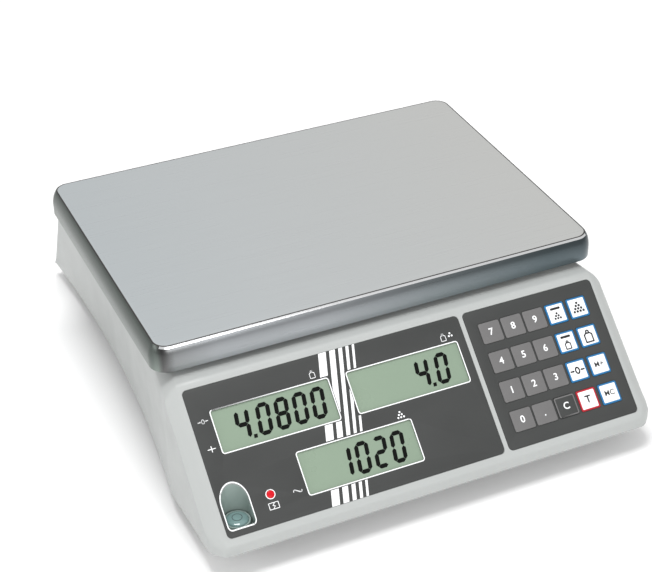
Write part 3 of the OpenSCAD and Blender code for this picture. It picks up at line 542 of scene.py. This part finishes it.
def pan_mesh():
    """A deep-drawn sheet: rings from the middle of the top, over the edge, round the rim and back inside."""
    w, d = PAN_HI.x - PAN_LO.x, PAN_HI.y - PAN_LO.y
    top, rim = PAN_HI.z, PAN_LO.z
    skirt_steps, rim_steps, highlight_rings = 12, 6, 2
    sections = [(inset, top - drop) for inset, drop in PAN_TOP_RINGS] + [(PAN_FLARE + PAN_FOLD_W, top)]
    fold_ring = len(sections) - 1
    fold = math.radians(PAN_FOLD_ANGLE)
    for i in range(skirt_steps + 1):
        a = fold + (math.pi / 2 - fold) * i / skirt_steps
        out = (math.sin(a) - math.sin(fold)) / (1 - math.sin(fold))
        down = (math.cos(fold) - math.cos(a)) / math.cos(fold)
        sections.append((PAN_FLARE * (1 - out), top - PAN_FOLD_DROP - PAN_FLARE_H * down))
    for i in range(rim_steps + 1):
        a = math.pi * i / rim_steps
        sections.append((PAN_RIM_R * (1 - math.cos(a)), rim + PAN_RIM_R * (1 - math.sin(a))))
    inside_ring = len(sections)
    for i in range(rim_steps + 1):
        a = math.pi / 2 * i / rim_steps
        inset = PAN_SHEET + PAN_FLARE * (1 - math.cos(a))
        sections.append((inset, top - PAN_SHEET - PAN_FLARE_H * (1 - math.sin(a))))
    sections += [(20, top - PAN_SHEET), (80, top - PAN_SHEET)]
    centre = (0, (PAN_LO.y + PAN_HI.y) / 2)
    points, faces, finish = [], [], []
    for inset, z in sections:
        loop = rounded_loop(w - 2 * inset, d - 2 * inset, max(PAN_CORNER_R - inset, 0.8), 12, centre)
        points += [(x, y, z) for x, y in loop]
    n = len(loop)
    finishes = [STEEL, STEEL_SKIRT_REFLECTION, STEEL_FOLD_SHADE, STEEL_HIGHLIGHT]
    top_or_inside, skirt, fold_shade, edge_highlight = range(len(finishes))
    for k in range(len(sections) - 1):
        for i in range(n):
            j = (i + 1) % n
            faces.append((k * n + i, k * n + j, (k + 1) * n + j, (k + 1) * n + i))
            on_side = abs(loop[j][1] - loop[i][1]) > abs(loop[j][0] - loop[i][0])
            # The fold ring gets a painted shade line. The first rings below it, on the front and back only,
            # get a painted highlight.
            if k == fold_ring:
                finish.append(fold_shade)
            elif fold_ring < k <= fold_ring + highlight_rings and not on_side:
                finish.append(edge_highlight)
            else:
                finish.append(skirt if fold_ring < k < inside_ring else top_or_inside)
    faces.append(tuple(range(n)))
    faces.append(tuple((len(sections) - 1) * n + i for i in reversed(range(n))))
    finish += [top_or_inside] * 2
    return mesh_of("weighing_pan_sheet", points, faces, finishes, finish, smooth=30)


add_object("weighing_pan_sheet", pan_mesh(), "pan", ["weighing_pan"])


# ---------------------------------------------------------------- housing

def half_width(y):
    """Half width of the housing at its underside."""
    reach, depth = BEND_Y - 3 - WAIST_Y, HALF_W - WAIST_HALF_W
    radius = (reach * reach + depth * depth) / (2 * depth)
    offset = max(-radius, min(radius, y - WAIST_Y))
    return min(HALF_W, WAIST_HALF_W + radius - math.sqrt(radius * radius - offset * offset))


def plan_round(y, inset):
    """How much a rounded plan corner takes off the half width near the lip."""
    reach = max(FRONT_Y + inset + PLAN_R - y, 0)
    return PLAN_R - math.sqrt(max(PLAN_R ** 2 - min(reach, PLAN_R) ** 2, 0))


def fillet(before, corner, after, radius, steps):
    """Points of a round corner between two straight stretches of an outline."""
    corner = Vector(corner)
    u, v = (Vector(before) - corner).normalized(), (Vector(after) - corner).normalized()
    half = u.angle(v) / 2
    reach = radius / math.tan(half)
    centre = corner + (u + v).normalized() * radius / math.sin(half)
    a, b = corner + u * reach - centre, corner + v * reach - centre
    swing = a.angle_signed(b)
    return [tuple(centre + Matrix.Rotation(-swing * i / steps, 2) @ a) for i in range(steps + 1)]


def spread(a, b, steps):
    """Points along a straight stretch, without its ends."""
    return [(a[0] + (b[0] - a[0]) * i / steps, a[1] + (b[1] - a[1]) * i / steps) for i in range(1, steps)]


CREASE = (FRONT_Y + 1.3, BASE_Z + 13.1)
NOSE = (FRONT_Y, BASE_Z + 6)
DECK_END = (PANEL_ORIGIN.y + 4.61 * SLOPE_COS, DECK_Z)


def top_path(inset):
    """The housing's upper outline, from the rear face over the deck and the panel to the lip."""
    def rear_at(z):
        return (REAR_Y - inset * math.hypot(1, REAR_LEAN) - REAR_LEAN * (z - BASE_Z), z)

    rear, rear_low = rear_at(DECK_Z - inset), rear_at(BASE_Z + 1)
    deck = (DECK_END[0], DECK_Z - inset)
    crease = (CREASE[0] + inset, CREASE[1] - inset * 0.6)
    nose = (NOSE[0] + inset, NOSE[1])
    rear_round = fillet(rear_low, rear, deck, REAR_TOP_R, 8)
    deck_round = fillet(rear, deck, crease, DECK_FRONT_R, 5)
    crease_round = fillet(deck, crease, nose, CREASE_R, 6)
    points = [rear_low] + spread(rear_low, rear_round[0], 14) + rear_round
    points += spread(rear_round[-1], deck_round[0], 20) + deck_round
    points += spread(deck_round[-1], crease_round[0], 14) + crease_round
    return points + [(nose[0], nose[1] + LIP_H)]


def under_z(y):
    """Height of the housing's lower edge, which rises towards the lip."""
    return BASE_Z if y > BEND_Y else BASE_Z + (BEND_Y - y) * (NOSE[1] - BASE_Z) / (BEND_Y - FRONT_Y)


def facet_size(y, z):
    """How far the flattened edge between top and side reaches, by place along the top path."""
    if y > DECK_END[0] + 60:
        return FACET_REAR
    rise = min(1.0, max(0.0, (z - CREASE[1] + 2) / FACET_RISE))
    return FACET_CREASE + (FACET_PANEL - FACET_CREASE) * rise


def housing_section(y, z, inset, open_depth):
    """One side's outline at a place on the top path, from the middle of the underside round to the top."""
    corner_steps, wall_steps, low_steps, top_steps = 7, 6, 3, 8
    low = under_z(y) - open_depth
    height = z - low
    top_r = min(facet_size(y, z), height * 0.45)
    low_r = min(LOW_EDGE_R, height * 0.3)
    base_w = half_width(y) - plan_round(y, inset) - inset
    lean = SIDE_LEAN if y > -160 else SIDE_LEAN / 2

    def width_at(h):
        return base_w - lean * (h - BASE_Z)

    section = [(base_w * k / 3, low) for k in range(3)]
    for i in range(low_steps + 1):
        a = math.radians(90 * i / low_steps)
        section.append((width_at(low) - low_r * (1 - math.sin(a)), low + low_r * (1 - math.cos(a))))
    for i in range(1, wall_steps):
        h = low + low_r + (height - low_r - top_r) * i / wall_steps
        section.append((width_at(h), h))
    for i in range(corner_steps + 1):
        t = i / corner_steps
        a = math.radians(90 * t)
        in_x = (1 - math.cos(a)) * (1 - FACET) + t * FACET
        in_z = (1 - math.sin(a)) * (1 - FACET) + (1 - t) * FACET
        section.append((width_at(z - top_r) - top_r * in_x, z - top_r * in_z))
    edge = section[-1][0]
    section += [(edge * (top_steps - k) / top_steps, z) for k in range(1, top_steps + 1)]
    y_low = max(y, FRONT_Y + inset + 0.8)
    return [(x, y if h > low + low_r else y_low, h) for x, h in section]


def housing_loft(name, inset, open_depth=0.0):
    """Sections from the rear to the lip, mirrored and joined into a closed form."""
    sections = [housing_section(y, z, inset, open_depth) for y, z in top_path(inset)]
    points, faces = [], []
    for section in sections:
        points += section
        points += [(-x, y, z) for x, y, z in section]
    n = len(sections[0])
    for k in range(len(sections) - 1):
        for side in (0, 1):
            a, b = (2 * k + side) * n, (2 * k + 2 + side) * n
            for i in range(n - 1):
                faces.append((a + i, a + i + 1, b + i + 1, b + i))
    for k in (0, len(sections) - 1):
        right = [2 * k * n + i for i in range(n)]
        left = [(2 * k + 1) * n + i for i in range(n)]
        faces.append(tuple(right + left[-2:0:-1]))
    return mesh_of(name, points, faces, [HOUSING])


def well_loop(grow):
    """The level well seen from above: an arch at the back and two rounded corners at the front."""
    r = WELL_R + grow
    corner = WELL_FRONT_R + grow
    corner_y = WELL_FRONT_Y - grow + corner
    back = arc((WELL_X, WELL_BACK_Y - WELL_R), r, 0, 180, 30)
    left = arc((WELL_X - r + corner, corner_y), corner, 180, 270, 6)
    right = arc((WELL_X + r - corner, corner_y), corner, 270, 360, 6)
    return back + left + right


def panel_prism(loop, z0, z1):
    """A cutter square to the panel."""
    mesh = polygons("panel_cutter", [loop], z0, z1, HOUSING)
    mesh.transform(Matrix.Scale(MM, 4) @ PANEL)
    tidy(mesh)
    return mesh


def rear_prism(loop, y0, y1):
    """A prism through the rear wall, on a loop in X and Z."""
    mesh = polygons("rear_cutter", [loop], -y1, -y0, HOUSING)
    mesh.transform(Matrix.Scale(MM, 4) @ Matrix.Rotation(math.radians(90), 4, "X"))
    tidy(mesh)
    return mesh


def middle(node):
    lo, hi = box_mm(node)
    return (lo + hi) / 2


def panel_cutters():
    """Recesses for the two films, and openings for the displays and the keypad's board."""
    cutters = []
    for x0, x1 in (DISPLAY_FILM_X, KEYPAD_FILM_X):
        centre = ((x0 + x1) / 2, -FILM_H / 2)
        loop = rounded_loop(x1 - x0 + FILM_GAP, FILM_H + FILM_GAP, FILM_R, 6, centre)
        cutters.append(panel_prism(loop, -FILM_T - 0.05, 6))
    for name in LCD_NAMES:
        cutters.append(panel_prism(rounded_loop(81.6, 31.6, 1, 3, lcd_centre(name)), -6, 3))
    left, upper = key_centre("key_4")
    lower = key_centre("key_1")[1]
    keypad_middle = (left + 31.3, (upper + lower) / 2)
    cutters.append(panel_prism(rounded_loop(79, 74.4, 1, 3, keypad_middle), -6, 3))
    return cutters


def housing_mesh():
    """The moulding: outer form less its hollow, with the well, the film recesses and the openings cut out."""
    switch_middle, (inlet_lo, inlet_hi) = middle("power_switch_frame"), box_mm("dc_inlet")
    pocket_x, pocket_z, pocket_w, pocket_h = 80.0, switch_middle.z, 64, 32
    pocket_floor = inlet_hi.y - 1.0
    switch_at, inlet_at = (switch_middle.x, pocket_z), ((inlet_lo.x + inlet_hi.x) / 2, pocket_z)
    pocket = rounded_loop(pocket_w, pocket_h, 2, 4, (pocket_x, pocket_z))
    pocket_walls = rounded_loop(pocket_w + 2 * SHELL_T, pocket_h + 2 * SHELL_T, 2, 3, (pocket_x, pocket_z))
    well_block = prism("well_block", well_loop(WELL_WALL_T), WELL_FLOOR_Z - WELL_WALL_T, DECK_Z + 20)
    cavity = housing_loft("cavity", SHELL_T, open_depth=8)
    cavity = cut(cavity, [well_block, rear_prism(pocket_walls, pocket_floor - SHELL_T, REAR_Y)])
    well = prism("well_hole", well_loop(0), WELL_FLOOR_Z, DECK_Z + 30)
    # The well's walls get the painted shade finish
    well.materials.append(WELL_WALL_SHADE.mat)
    well.polygons.foreach_set("material_index", [1] * len(well.polygons))
    deck_loop = rounded_loop(53, 50, 6, 6, (57.5, middle("load_cell").y))
    deck_hole = prism("deck_hole", deck_loop, DECK_Z - 8, DECK_Z + 8)
    rear = [rear_prism(pocket, pocket_floor, REAR_Y + 4),
            rear_prism(rounded_loop(15.2, 24.2, 1, 3, switch_at), pocket_floor - 10, REAR_Y),
            rear_prism(circle_loop(5.6, 32, inlet_at), pocket_floor - 10, REAR_Y)]
    shell = housing_loft("housing_shell", 0)
    shell.materials.append(WELL_WALL_SHADE.mat)
    return cut(shell, [cavity, well, deck_hole, *panel_cutters(), *rear])


def panel_of(point_m):
    """A point of the row frame, in metres, in the panel's axes, in millimetres."""
    return PANEL.inverted() @ (Vector(point_m) / MM)


def key_centre(name):
    """Middle of a key in the panel's axes."""
    p = panel_of(JOINTS[name + "_press"]["pos_m"])
    return p.x, p.y


def lcd_centre(name):
    """Middle of a display's window, from the middle of its module, which is below the window's surface."""
    lo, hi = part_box(name)
    p = panel_of((lo + hi) / 2)
    return p.x, p.y


housing = housing_mesh()
shade(housing, 32)
add_object("housing_shell", housing, "housing", ["upper_housing"])


# ---------------------------------------------------------------- films and their print

LAMP_R = 2.4
LAMP_LO, LAMP_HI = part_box("charge_led")
LAMP_AT = tuple(panel_of((LAMP_LO + LAMP_HI) / 2))[:2]
KEY_NODES = [n for n in frame["nodes"] if n.startswith("key_") and n != "key_domes"]
DARK_KEYS = {**{"key_" + d: d for d in "0123456789"}, "key_point": ".", "key_clear_entry": "C"}


def window_loop(name, grow=0.0):
    return rounded_loop(LCD_WINDOW[0] + 2 * grow, LCD_WINDOW[1] + 2 * grow, 1.2 + grow, 4, lcd_centre(name))


def well_on_panel(grow):
    """The well's outline on the panel. The well is upright, so the slope lengthens it."""
    return [(x, (y - PANEL_ORIGIN.y) / SLOPE_COS) for x, y in well_loop(grow)]


def cap_size(name):
    return (14.4, 13.4) if name in DARK_KEYS else (13.4, 13.4)


def key_hole(name):
    w, h = cap_size(name)
    return rounded_loop(w + FILM_GAP, h + FILM_GAP, 1.2, 4, key_centre(name))


def film_sheet(node, span, holes):
    """An overlay film with its holes, let into the panel."""
    left, right = span
    outline = rounded_loop(right - left, FILM_H, FILM_R, 8, ((left + right) / 2, -FILM_H / 2))
    sheet = plate(node + "_sheet", outline, -FILM_T, FILM_TOP, FILM_EDGE_R, FILM, holes)
    add_object(node + "_sheet", on_panel(sheet), "housing", [node])


film_sheet("display_film", DISPLAY_FILM_X, [window_loop(n) for n in LCD_NAMES]
           + [circle_loop(LAMP_R + 0.2, 32, LAMP_AT), well_on_panel(0.2)])
film_sheet("keypad_film", KEYPAD_FILM_X, [key_hole(n) for n in KEY_NODES])


def ring_shapes(loop_out, loop_in):
    """The band between two loops of the same number of points, as a row of small quads."""
    n = len(loop_out)
    return [[loop_in[i], loop_out[i], loop_out[(i + 1) % n], loop_in[(i + 1) % n]] for i in range(n)]


def pile_symbol(x, y, rows, r, pitch):
    """A pile of counted pieces: rows of dots, one more in each row."""
    dots = []
    for row in range(rows):
        for k in range(row + 1):
            dots.append(circle_loop(r, 12, (x + (k - row / 2) * pitch, y - row * pitch * 0.87)))
    return dots


def weight_symbol(x, y, size, line=0.08):
    """A knobbed weight seen from the side, outlined. The line's width is a share of the size."""
    w, h = size * 0.36, size * 0.5
    body = [(x - w, y - h), (x + w, y - h), (x + w, y + h * 0.35), (x + w * 0.55, y + h * 0.6),
            (x - w * 0.55, y + h * 0.6), (x - w, y + h * 0.35)]
    knob = circle_loop(size * 0.13, 14, (x, y + h * 0.86))
    return path(body, size * line, closed=True) + path(knob, size * line, closed=True)


def zero_arrows(x, y, size, line=0.075):
    """Two arrows that point at a nought between them."""
    nought = [(x + px * size * 0.16, y + py * size * 0.24) for px, py in circle_loop(1.0, 20)]
    shapes = path(nought, size * line, closed=True)
    for side in (-1, 1):
        tip = x + side * size * 0.25
        base, half = tip + side * size * 0.15, size * 0.1
        shapes.append(stroke((x + side * size * 0.62, y), (tip + side * half, y), size * line))
        shapes.append([(tip, y), (base, y - side * half), (base, y + side * half)])
    return shapes


def plus_symbol(x, y, half_w, half_h, line):
    return path([(x - half_w, y), (x + half_w, y)], line) + path([(x, y + half_h), (x, y - half_h)], line)


def battery_symbol(x, y, line=0.4):
    """A box with a zigzag flash in it."""
    w, h = 3, 1.9
    box = [(x - w, y - h), (x + w, y - h), (x + w, y + h), (x - w, y + h)]
    flash = [(x + 0.7, y + 1.7), (x - 0.7, y + 0.2), (x + 0.7, y - 0.2), (x - 0.7, y - 1.7)]
    return path(box, line, closed=True) + path(flash, line)


def wave_symbol(x, y, half_w, height, line=0.6):
    turns = [math.radians(a) for a in range(0, 181, 15)]
    return path([(x - half_w * math.cos(a), y + height * math.sin(2 * a)) for a in turns], line)


def gap_beside(x0, x1, y, blockers):
    """The widest part of the stretch x0 to x1 at height y that is clear of the blocking rectangles."""
    clear = [(x0, x1)]
    for a, b, c, d in blockers:
        if c < y < d:
            pieces = [piece for lo, hi in clear for piece in ((lo, min(hi, a)), (max(lo, b), hi))]
            clear = [piece for piece in pieces if piece[1] > piece[0]]
    return max(clear, key=lambda piece: piece[1] - piece[0], default=None)


def stripe_shapes():
    """Five slanting bars of falling width that run down behind the displays."""
    widths, gap, lean, thinnest, steps = (5.0, 3.7, 2.5, 1.9, 1.5), 2.3, 0.243, 0.2, 240
    blockers = []
    for n in LCD_NAMES:
        cx, cy = lcd_centre(n)
        hw, hh = LCD_WINDOW[0] / 2 + 1.1, LCD_WINDOW[1] / 2 + 1.1
        blockers.append((cx - hw, cx + hw, cy - hh, cy + hh))
    shapes = []
    left = DISPLAY_FILM_X[0] + 87.4
    for width in widths:
        run = []
        for k in range(steps + 1):
            down = FILM_H * k / steps
            x = left - lean * down
            part = gap_beside(x, x + width, -down, blockers)
            shows = bool(part) and part[1] - part[0] > thinnest
            if shows:
                run.append((*part, -down))
            if run and (k == steps or not shows):
                if len(run) > 1:
                    shapes.append([(lo, y) for lo, hi, y in run] + [(hi, y) for lo, hi, y in reversed(run)])
                run = []
        left += width + gap
    return shapes


def frame_lines():
    """White lines round the windows and the level well."""
    shapes = []
    for n in LCD_NAMES:
        shapes += ring_shapes(window_loop(n, 0.7), window_loop(n, 0.04))
    return shapes + ring_shapes(well_on_panel(0.62), well_on_panel(0.0))


def lamp_ring():
    return ring_shapes(circle_loop(3.0, 32, LAMP_AT), circle_loop(LAMP_R + 0.1, 32, LAMP_AT))


def film_symbols():
    """Generic symbols beside the displays and the lamp, placed from the display film's left edge."""
    left = DISPLAY_FILM_X[0]
    return (zero_arrows(left + 6.9, -20.6, 5.2)
            + plus_symbol(left + 6.9, -37.6, 2.3, 1.7, 0.5)
            + weight_symbol(left + 79.6, -11.2, 4.4)
            + weight_symbol(left + 168.0, -11.2, 4.4)
            + pile_symbol(left + 173.0, -9.6, 2, 0.62, 1.9)
            + pile_symbol(left + 124.7, -47.9, 3, 0.62, 1.9)
            + battery_symbol(LAMP_AT[0], -79.7)
            + wave_symbol(left + 48.4, -75.5, 2.6, 0.9))


white_shapes = frame_lines() + film_symbols() + lamp_ring() + stripe_shapes()
panel_print = polygons("panel_print", white_shapes, *PRINT_Z, INK_WHITE)
add_object("panel_print", on_panel(panel_print), "housing")


# ---------------------------------------------------------------- displays

SEGMENTS = {"0": "abcdef", "1": "bc", "2": "abged", "4": "fgbc", "8": "abcdefg"}
DIGIT_W, DIGIT_H, DIGIT_T, DIGIT_PITCH, DIGIT_LEAN = 9.0, 19.4, 2.6, 11.7, 0.13
SEGMENT_GAP = 0.1
SEGMENT_Z = (LCD_N - 0.02, LCD_N + 0.08)
POINT_SPACE = 1.8
# Each reading with its margin from the window's right edge and its drop below the middle
READINGS = {"lcd_weight": ("4.0800", 4.0, -0.2), "lcd_unit_weight": ("4.0", 8.6, 0.3),
            "lcd_pieces": ("1020", 6.9, 0.8)}


def segment_shapes(character, x, y):
    """A leaning seven-segment digit with its lower left corner at x, y."""
    w, h, m = DIGIT_W, DIGIT_H, DIGIT_T / 2

    def bar(ax, ay, bx, by):
        a, b = Vector((ax, ay)), Vector((bx, by))
        u = (b - a).normalized()
        side, tip = Vector((-u.y, u.x)) * m, u * m
        a, b = a + u * SEGMENT_GAP, b - u * SEGMENT_GAP
        loop = [a, a + tip - side, b - tip - side, b, b - tip + side, a + tip + side]
        return [(x + p.x + p.y * DIGIT_LEAN, y + p.y) for p in loop]

    ends = {"a": (m, h - m, w - m, h - m), "g": (m, h / 2, w - m, h / 2), "d": (m, m, w - m, m),
            "f": (m, h / 2, m, h - m), "b": (w - m, h / 2, w - m, h - m),
            "e": (m, m, m, h / 2), "c": (w - m, m, w - m, h / 2)}
    return [bar(*ends[k]) for k in SEGMENTS[character]]


def reading_shapes(name, reading, margin, drop):
    """The digits of one display, from the right, with points between them."""
    cx, cy = lcd_centre(name)
    base = cy - DIGIT_H / 2 - drop
    x = cx + LCD_WINDOW[0] / 2 - margin - DIGIT_W - DIGIT_LEAN * DIGIT_H
    shapes = []
    for character in reversed(reading):
        if character == ".":
            x -= POINT_SPACE
            dot = x + DIGIT_PITCH - 0.6
            top = base + 2.3
            shapes.append([(dot - 1.2, base), (dot + 1.0, base), (dot + 1.3, top), (dot - 0.9, top)])
        else:
            shapes += segment_shapes(character, x, base)
            x -= DIGIT_PITCH
    return shapes


for name, (reading, margin, drop) in READINGS.items():
    glass_outline = rounded_loop(*LCD_GLASS, 0.6, 3, lcd_centre(name))
    glass = plate(name + "_glass", glass_outline, LCD_N - LCD_GLASS_T, LCD_N, 0.12, LCD)
    add_object(name + "_glass", on_panel(glass), "housing", [name])
    digits = polygons(name + "_digits", reading_shapes(name, reading, margin, drop), *SEGMENT_Z, SEGMENT)
    add_object(name + "_digits", on_panel(digits), "housing")


# ---------------------------------------------------------------- keys

def key_legend(name):
    """The key's printed symbol, centred on the origin, as a mesh."""
    def written(text, size, weight):
        return moved(letters(text, size, INK_BLACK, weight), z=FIELD_TOP + LEGEND_T / 2)

    if name in DARK_KEYS:
        return moved(letters(DARK_KEYS[name], 6.2, INK_WHITE), z=CAP_TOP + LEGEND_T / 2)
    if name == "key_tare":
        return written("T", 6.6, 0.16)
    if name in ("key_memory_add", "key_memory_clear"):
        return written("M+" if name == "key_memory_add" else "MC", 4.9, 0.02)
    shapes = {
        "key_set_zero": zero_arrows(0, 0, 8.2, 0.115),
        "key_pieces": pile_symbol(0, 3.0, 4, 0.84, 2.15),
        "key_ref_pieces": pile_symbol(0, 0.0, 3, 0.74, 1.9) + path([(-2.8, 3.2), (2.8, 3.2)], 1.5),
        "key_weight": weight_symbol(0, -0.5, 7.2, 0.125),
        "key_ref_weight": weight_symbol(0, -2.2, 5.0, 0.14) + path([(-2.8, 3.4), (2.8, 3.4)], 1.5),
    }[name]
    return polygons("legend", shapes, FIELD_TOP, FIELD_TOP + LEGEND_T, INK_BLACK)


def cap_finish(name):
    if name == "key_clear_entry":
        return FILM
    if name in DARK_KEYS:
        return KEY_GREY
    return INK_RED if name == "key_tare" else INK_BLUE


def key_mesh(name):
    """A key: cap with a printed border, the flange that holds it under the film, and its nib."""
    w, h = cap_size(name)
    finish = cap_finish(name)
    flange = rounded_loop(15.2, 14.9, 1.0, 4)
    parts = [plate("cap", rounded_loop(w, h, 1.1, 6), FLANGE_TOP, CAP_TOP, 0.18, finish, bevel_steps=3),
             plate("flange", flange, FLANGE_LOW, FLANGE_TOP, 0.1, finish, bevel_steps=1),
             plate("nib", circle_loop(2.0, 24), NIB_LOW, FLANGE_LOW + 0.04, 0.15, finish)]
    if name not in DARK_KEYS:
        field = rounded_loop(w - 2.1, h - 2.1, 0.5, 4)
        parts.append(plate("field", field, FIELD_LOW, FIELD_TOP, 0.015, KEY_WHITE, bevel_steps=1))
    if name == "key_clear_entry":
        outer, inner = rounded_loop(w - 0.4, h - 0.4, 0.95, 6), rounded_loop(w - 1.9, h - 1.9, 0.5, 6)
        parts.append(polygons("border", ring_shapes(outer, inner), FIELD_LOW, FIELD_TOP, KEY_GREY))
    parts.append(key_legend(name))
    mesh = merged(name + "_cap", parts)
    mesh.transform(Matrix.Translation((*key_centre(name), 0)))
    return on_panel(mesh)


for name in KEY_NODES:
    add_object(name + "_cap", key_mesh(name), name, [name])


# ---------------------------------------------------------------- level and lamp

def lathe(name, profile, centre, finish, steps=64):
    """A closed turned shape from a profile of (radius, height) points."""
    points, faces = [], []
    for r, z in profile:
        points += [(x, y, centre[2] + z) for x, y in circle_loop(r, steps, centre[:2])]
    for k in range(len(profile) - 1):
        for i in range(steps):
            j = (i + 1) % steps
            faces.append((k * steps + i, k * steps + j, (k + 1) * steps + j, (k + 1) * steps + i))
    faces.append(tuple(range(steps)))
    faces.append(tuple((len(profile) - 1) * steps + i for i in reversed(range(steps))))
    return mesh_of(name, points, faces, [finish], smooth=35)


def bubble_level():
    """A clear ring, a domed vial of spirit in it, and the circle printed on the dome."""
    centre, axis_r = (WELL_X, LEVEL_Y, WELL_FLOOR_Z), 0.01
    ring = [(axis_r, 0), (8.0, 0), (8.1, 0.15), (8.1, 2.9), (7.9, 3.2), (7.1, 3.2), (6.85, 3.0), (6.85, 1.0),
            (axis_r, 1.0)]
    add_object("level_ring", lathe("level_ring", ring, centre, CLEAR_RING), "housing",
               ["level_body"])
    dome = [(6.6 * math.cos(math.radians(a)), 3.3 + 1.5 * math.sin(math.radians(a))) for a in range(0, 90, 9)]
    vial = [(axis_r, 1.0), (6.6, 1.0), (6.75, 1.2), (6.75, 3.2), *dome, (axis_r, 4.8)]
    add_object("level_glass", lathe("level_glass", vial, centre, SPIRIT), "housing", ["level_vial"])
    circle = ring_shapes(circle_loop(3.1, 40), circle_loop(2.8, 40))
    marks = polygons("level_marks", circle, 4.62, 4.7, INK_BLACK)
    marks.transform(Matrix.Scale(MM, 4) @ Matrix.Translation(centre))
    add_object("level_marks", marks, "housing")


def charge_lamp():
    """A domed lens that stands just proud of the film."""
    foot, rim, crown, axis_r = -3.0, 0.1, 0.55, 0.01
    turns = [math.radians(a) for a in range(15, 90, 15)]
    dome = [(LAMP_R * math.cos(a), rim + crown * math.sin(a)) for a in turns]
    profile = [(axis_r, foot), (LAMP_R, foot), (LAMP_R, rim), *dome, (axis_r, rim + crown)]
    lens = lathe("charge_lens", profile, (0, 0, 0), LAMP, 32)
    lens.transform(Matrix.Scale(MM, 4) @ PANEL @ Matrix.Translation((*LAMP_AT, 0)) @ Matrix.Scale(1 / MM, 4))
    add_object("charge_lens", lens, "housing", ["charge_led"])


bubble_level()
charge_lamp()


# ---------------------------------------------------------------- floor, lights, camera

# Places and sizes of the floor, lights and camera are in metres

def floor():
    mesh = bpy.data.meshes.new("floor")
    reach = 6.0
    corners = [(-reach, -reach, 0), (reach, -reach, 0), (reach, reach, 0), (-reach, reach, 0)]
    mesh.from_pydata(corners, [], [(0, 1, 2, 3)])
    mesh.materials.append(Finish("floor_paper", grey(0.95), 0.8).mat)
    obj = bpy.data.objects.new("floor", mesh)
    scene.collection.objects.link(obj)


def area_light(name, place, size, power):
    """A soft light aimed at the middle of the scale."""
    light = bpy.data.lights.new(name, "AREA")
    light.shape = "RECTANGLE"
    light.size, light.size_y = size
    light.energy = power
    obj = bpy.data.objects.new(name, light)
    scene.collection.objects.link(obj)
    obj.location = place
    obj.rotation_euler = (Vector(LIGHT_TARGET) - Vector(place)).to_track_quat("-Z", "Y").to_euler()


LIGHT_TARGET = (0, 0, 0.05)
floor()
world = bpy.data.worlds.new("studio")
scene.world = world
world.use_nodes = True
background = world.node_tree.nodes["Background"]
background.inputs["Color"].default_value = (1.0, 1.0, 1.0, 1.0)
background.inputs["Strength"].default_value = 0.64
area_light("key_softbox", (-0.12, 0.0, 1.9), (0.7, 0.7), 20)
area_light("front_fill", (-0.3, -2.0, 0.9), (1.4, 0.9), 17)
area_light("left_fill", (-2.0, 0.2, 0.7), (1.2, 0.8), 6)

# The camera's place, lens and shift come from fitting straight edges of the pan and the panel
CAMERA_DOWN, CAMERA_TURN = 33.52, -25.82
camera_data = bpy.data.cameras.new("camera")
camera_data.sensor_width = 36.0
camera_data.lens = 96.0
camera_data.shift_x = -0.1083
camera_data.shift_y = 0.0027
camera = bpy.data.objects.new("camera", camera_data)
camera.location = (-0.38003, -0.89603, 0.69933)
camera.rotation_euler = (math.radians(90 - CAMERA_DOWN), 0.0, math.radians(CAMERA_TURN))
scene.collection.objects.link(camera)
scene.camera = camera
scene.view_settings.view_transform = "Standard"
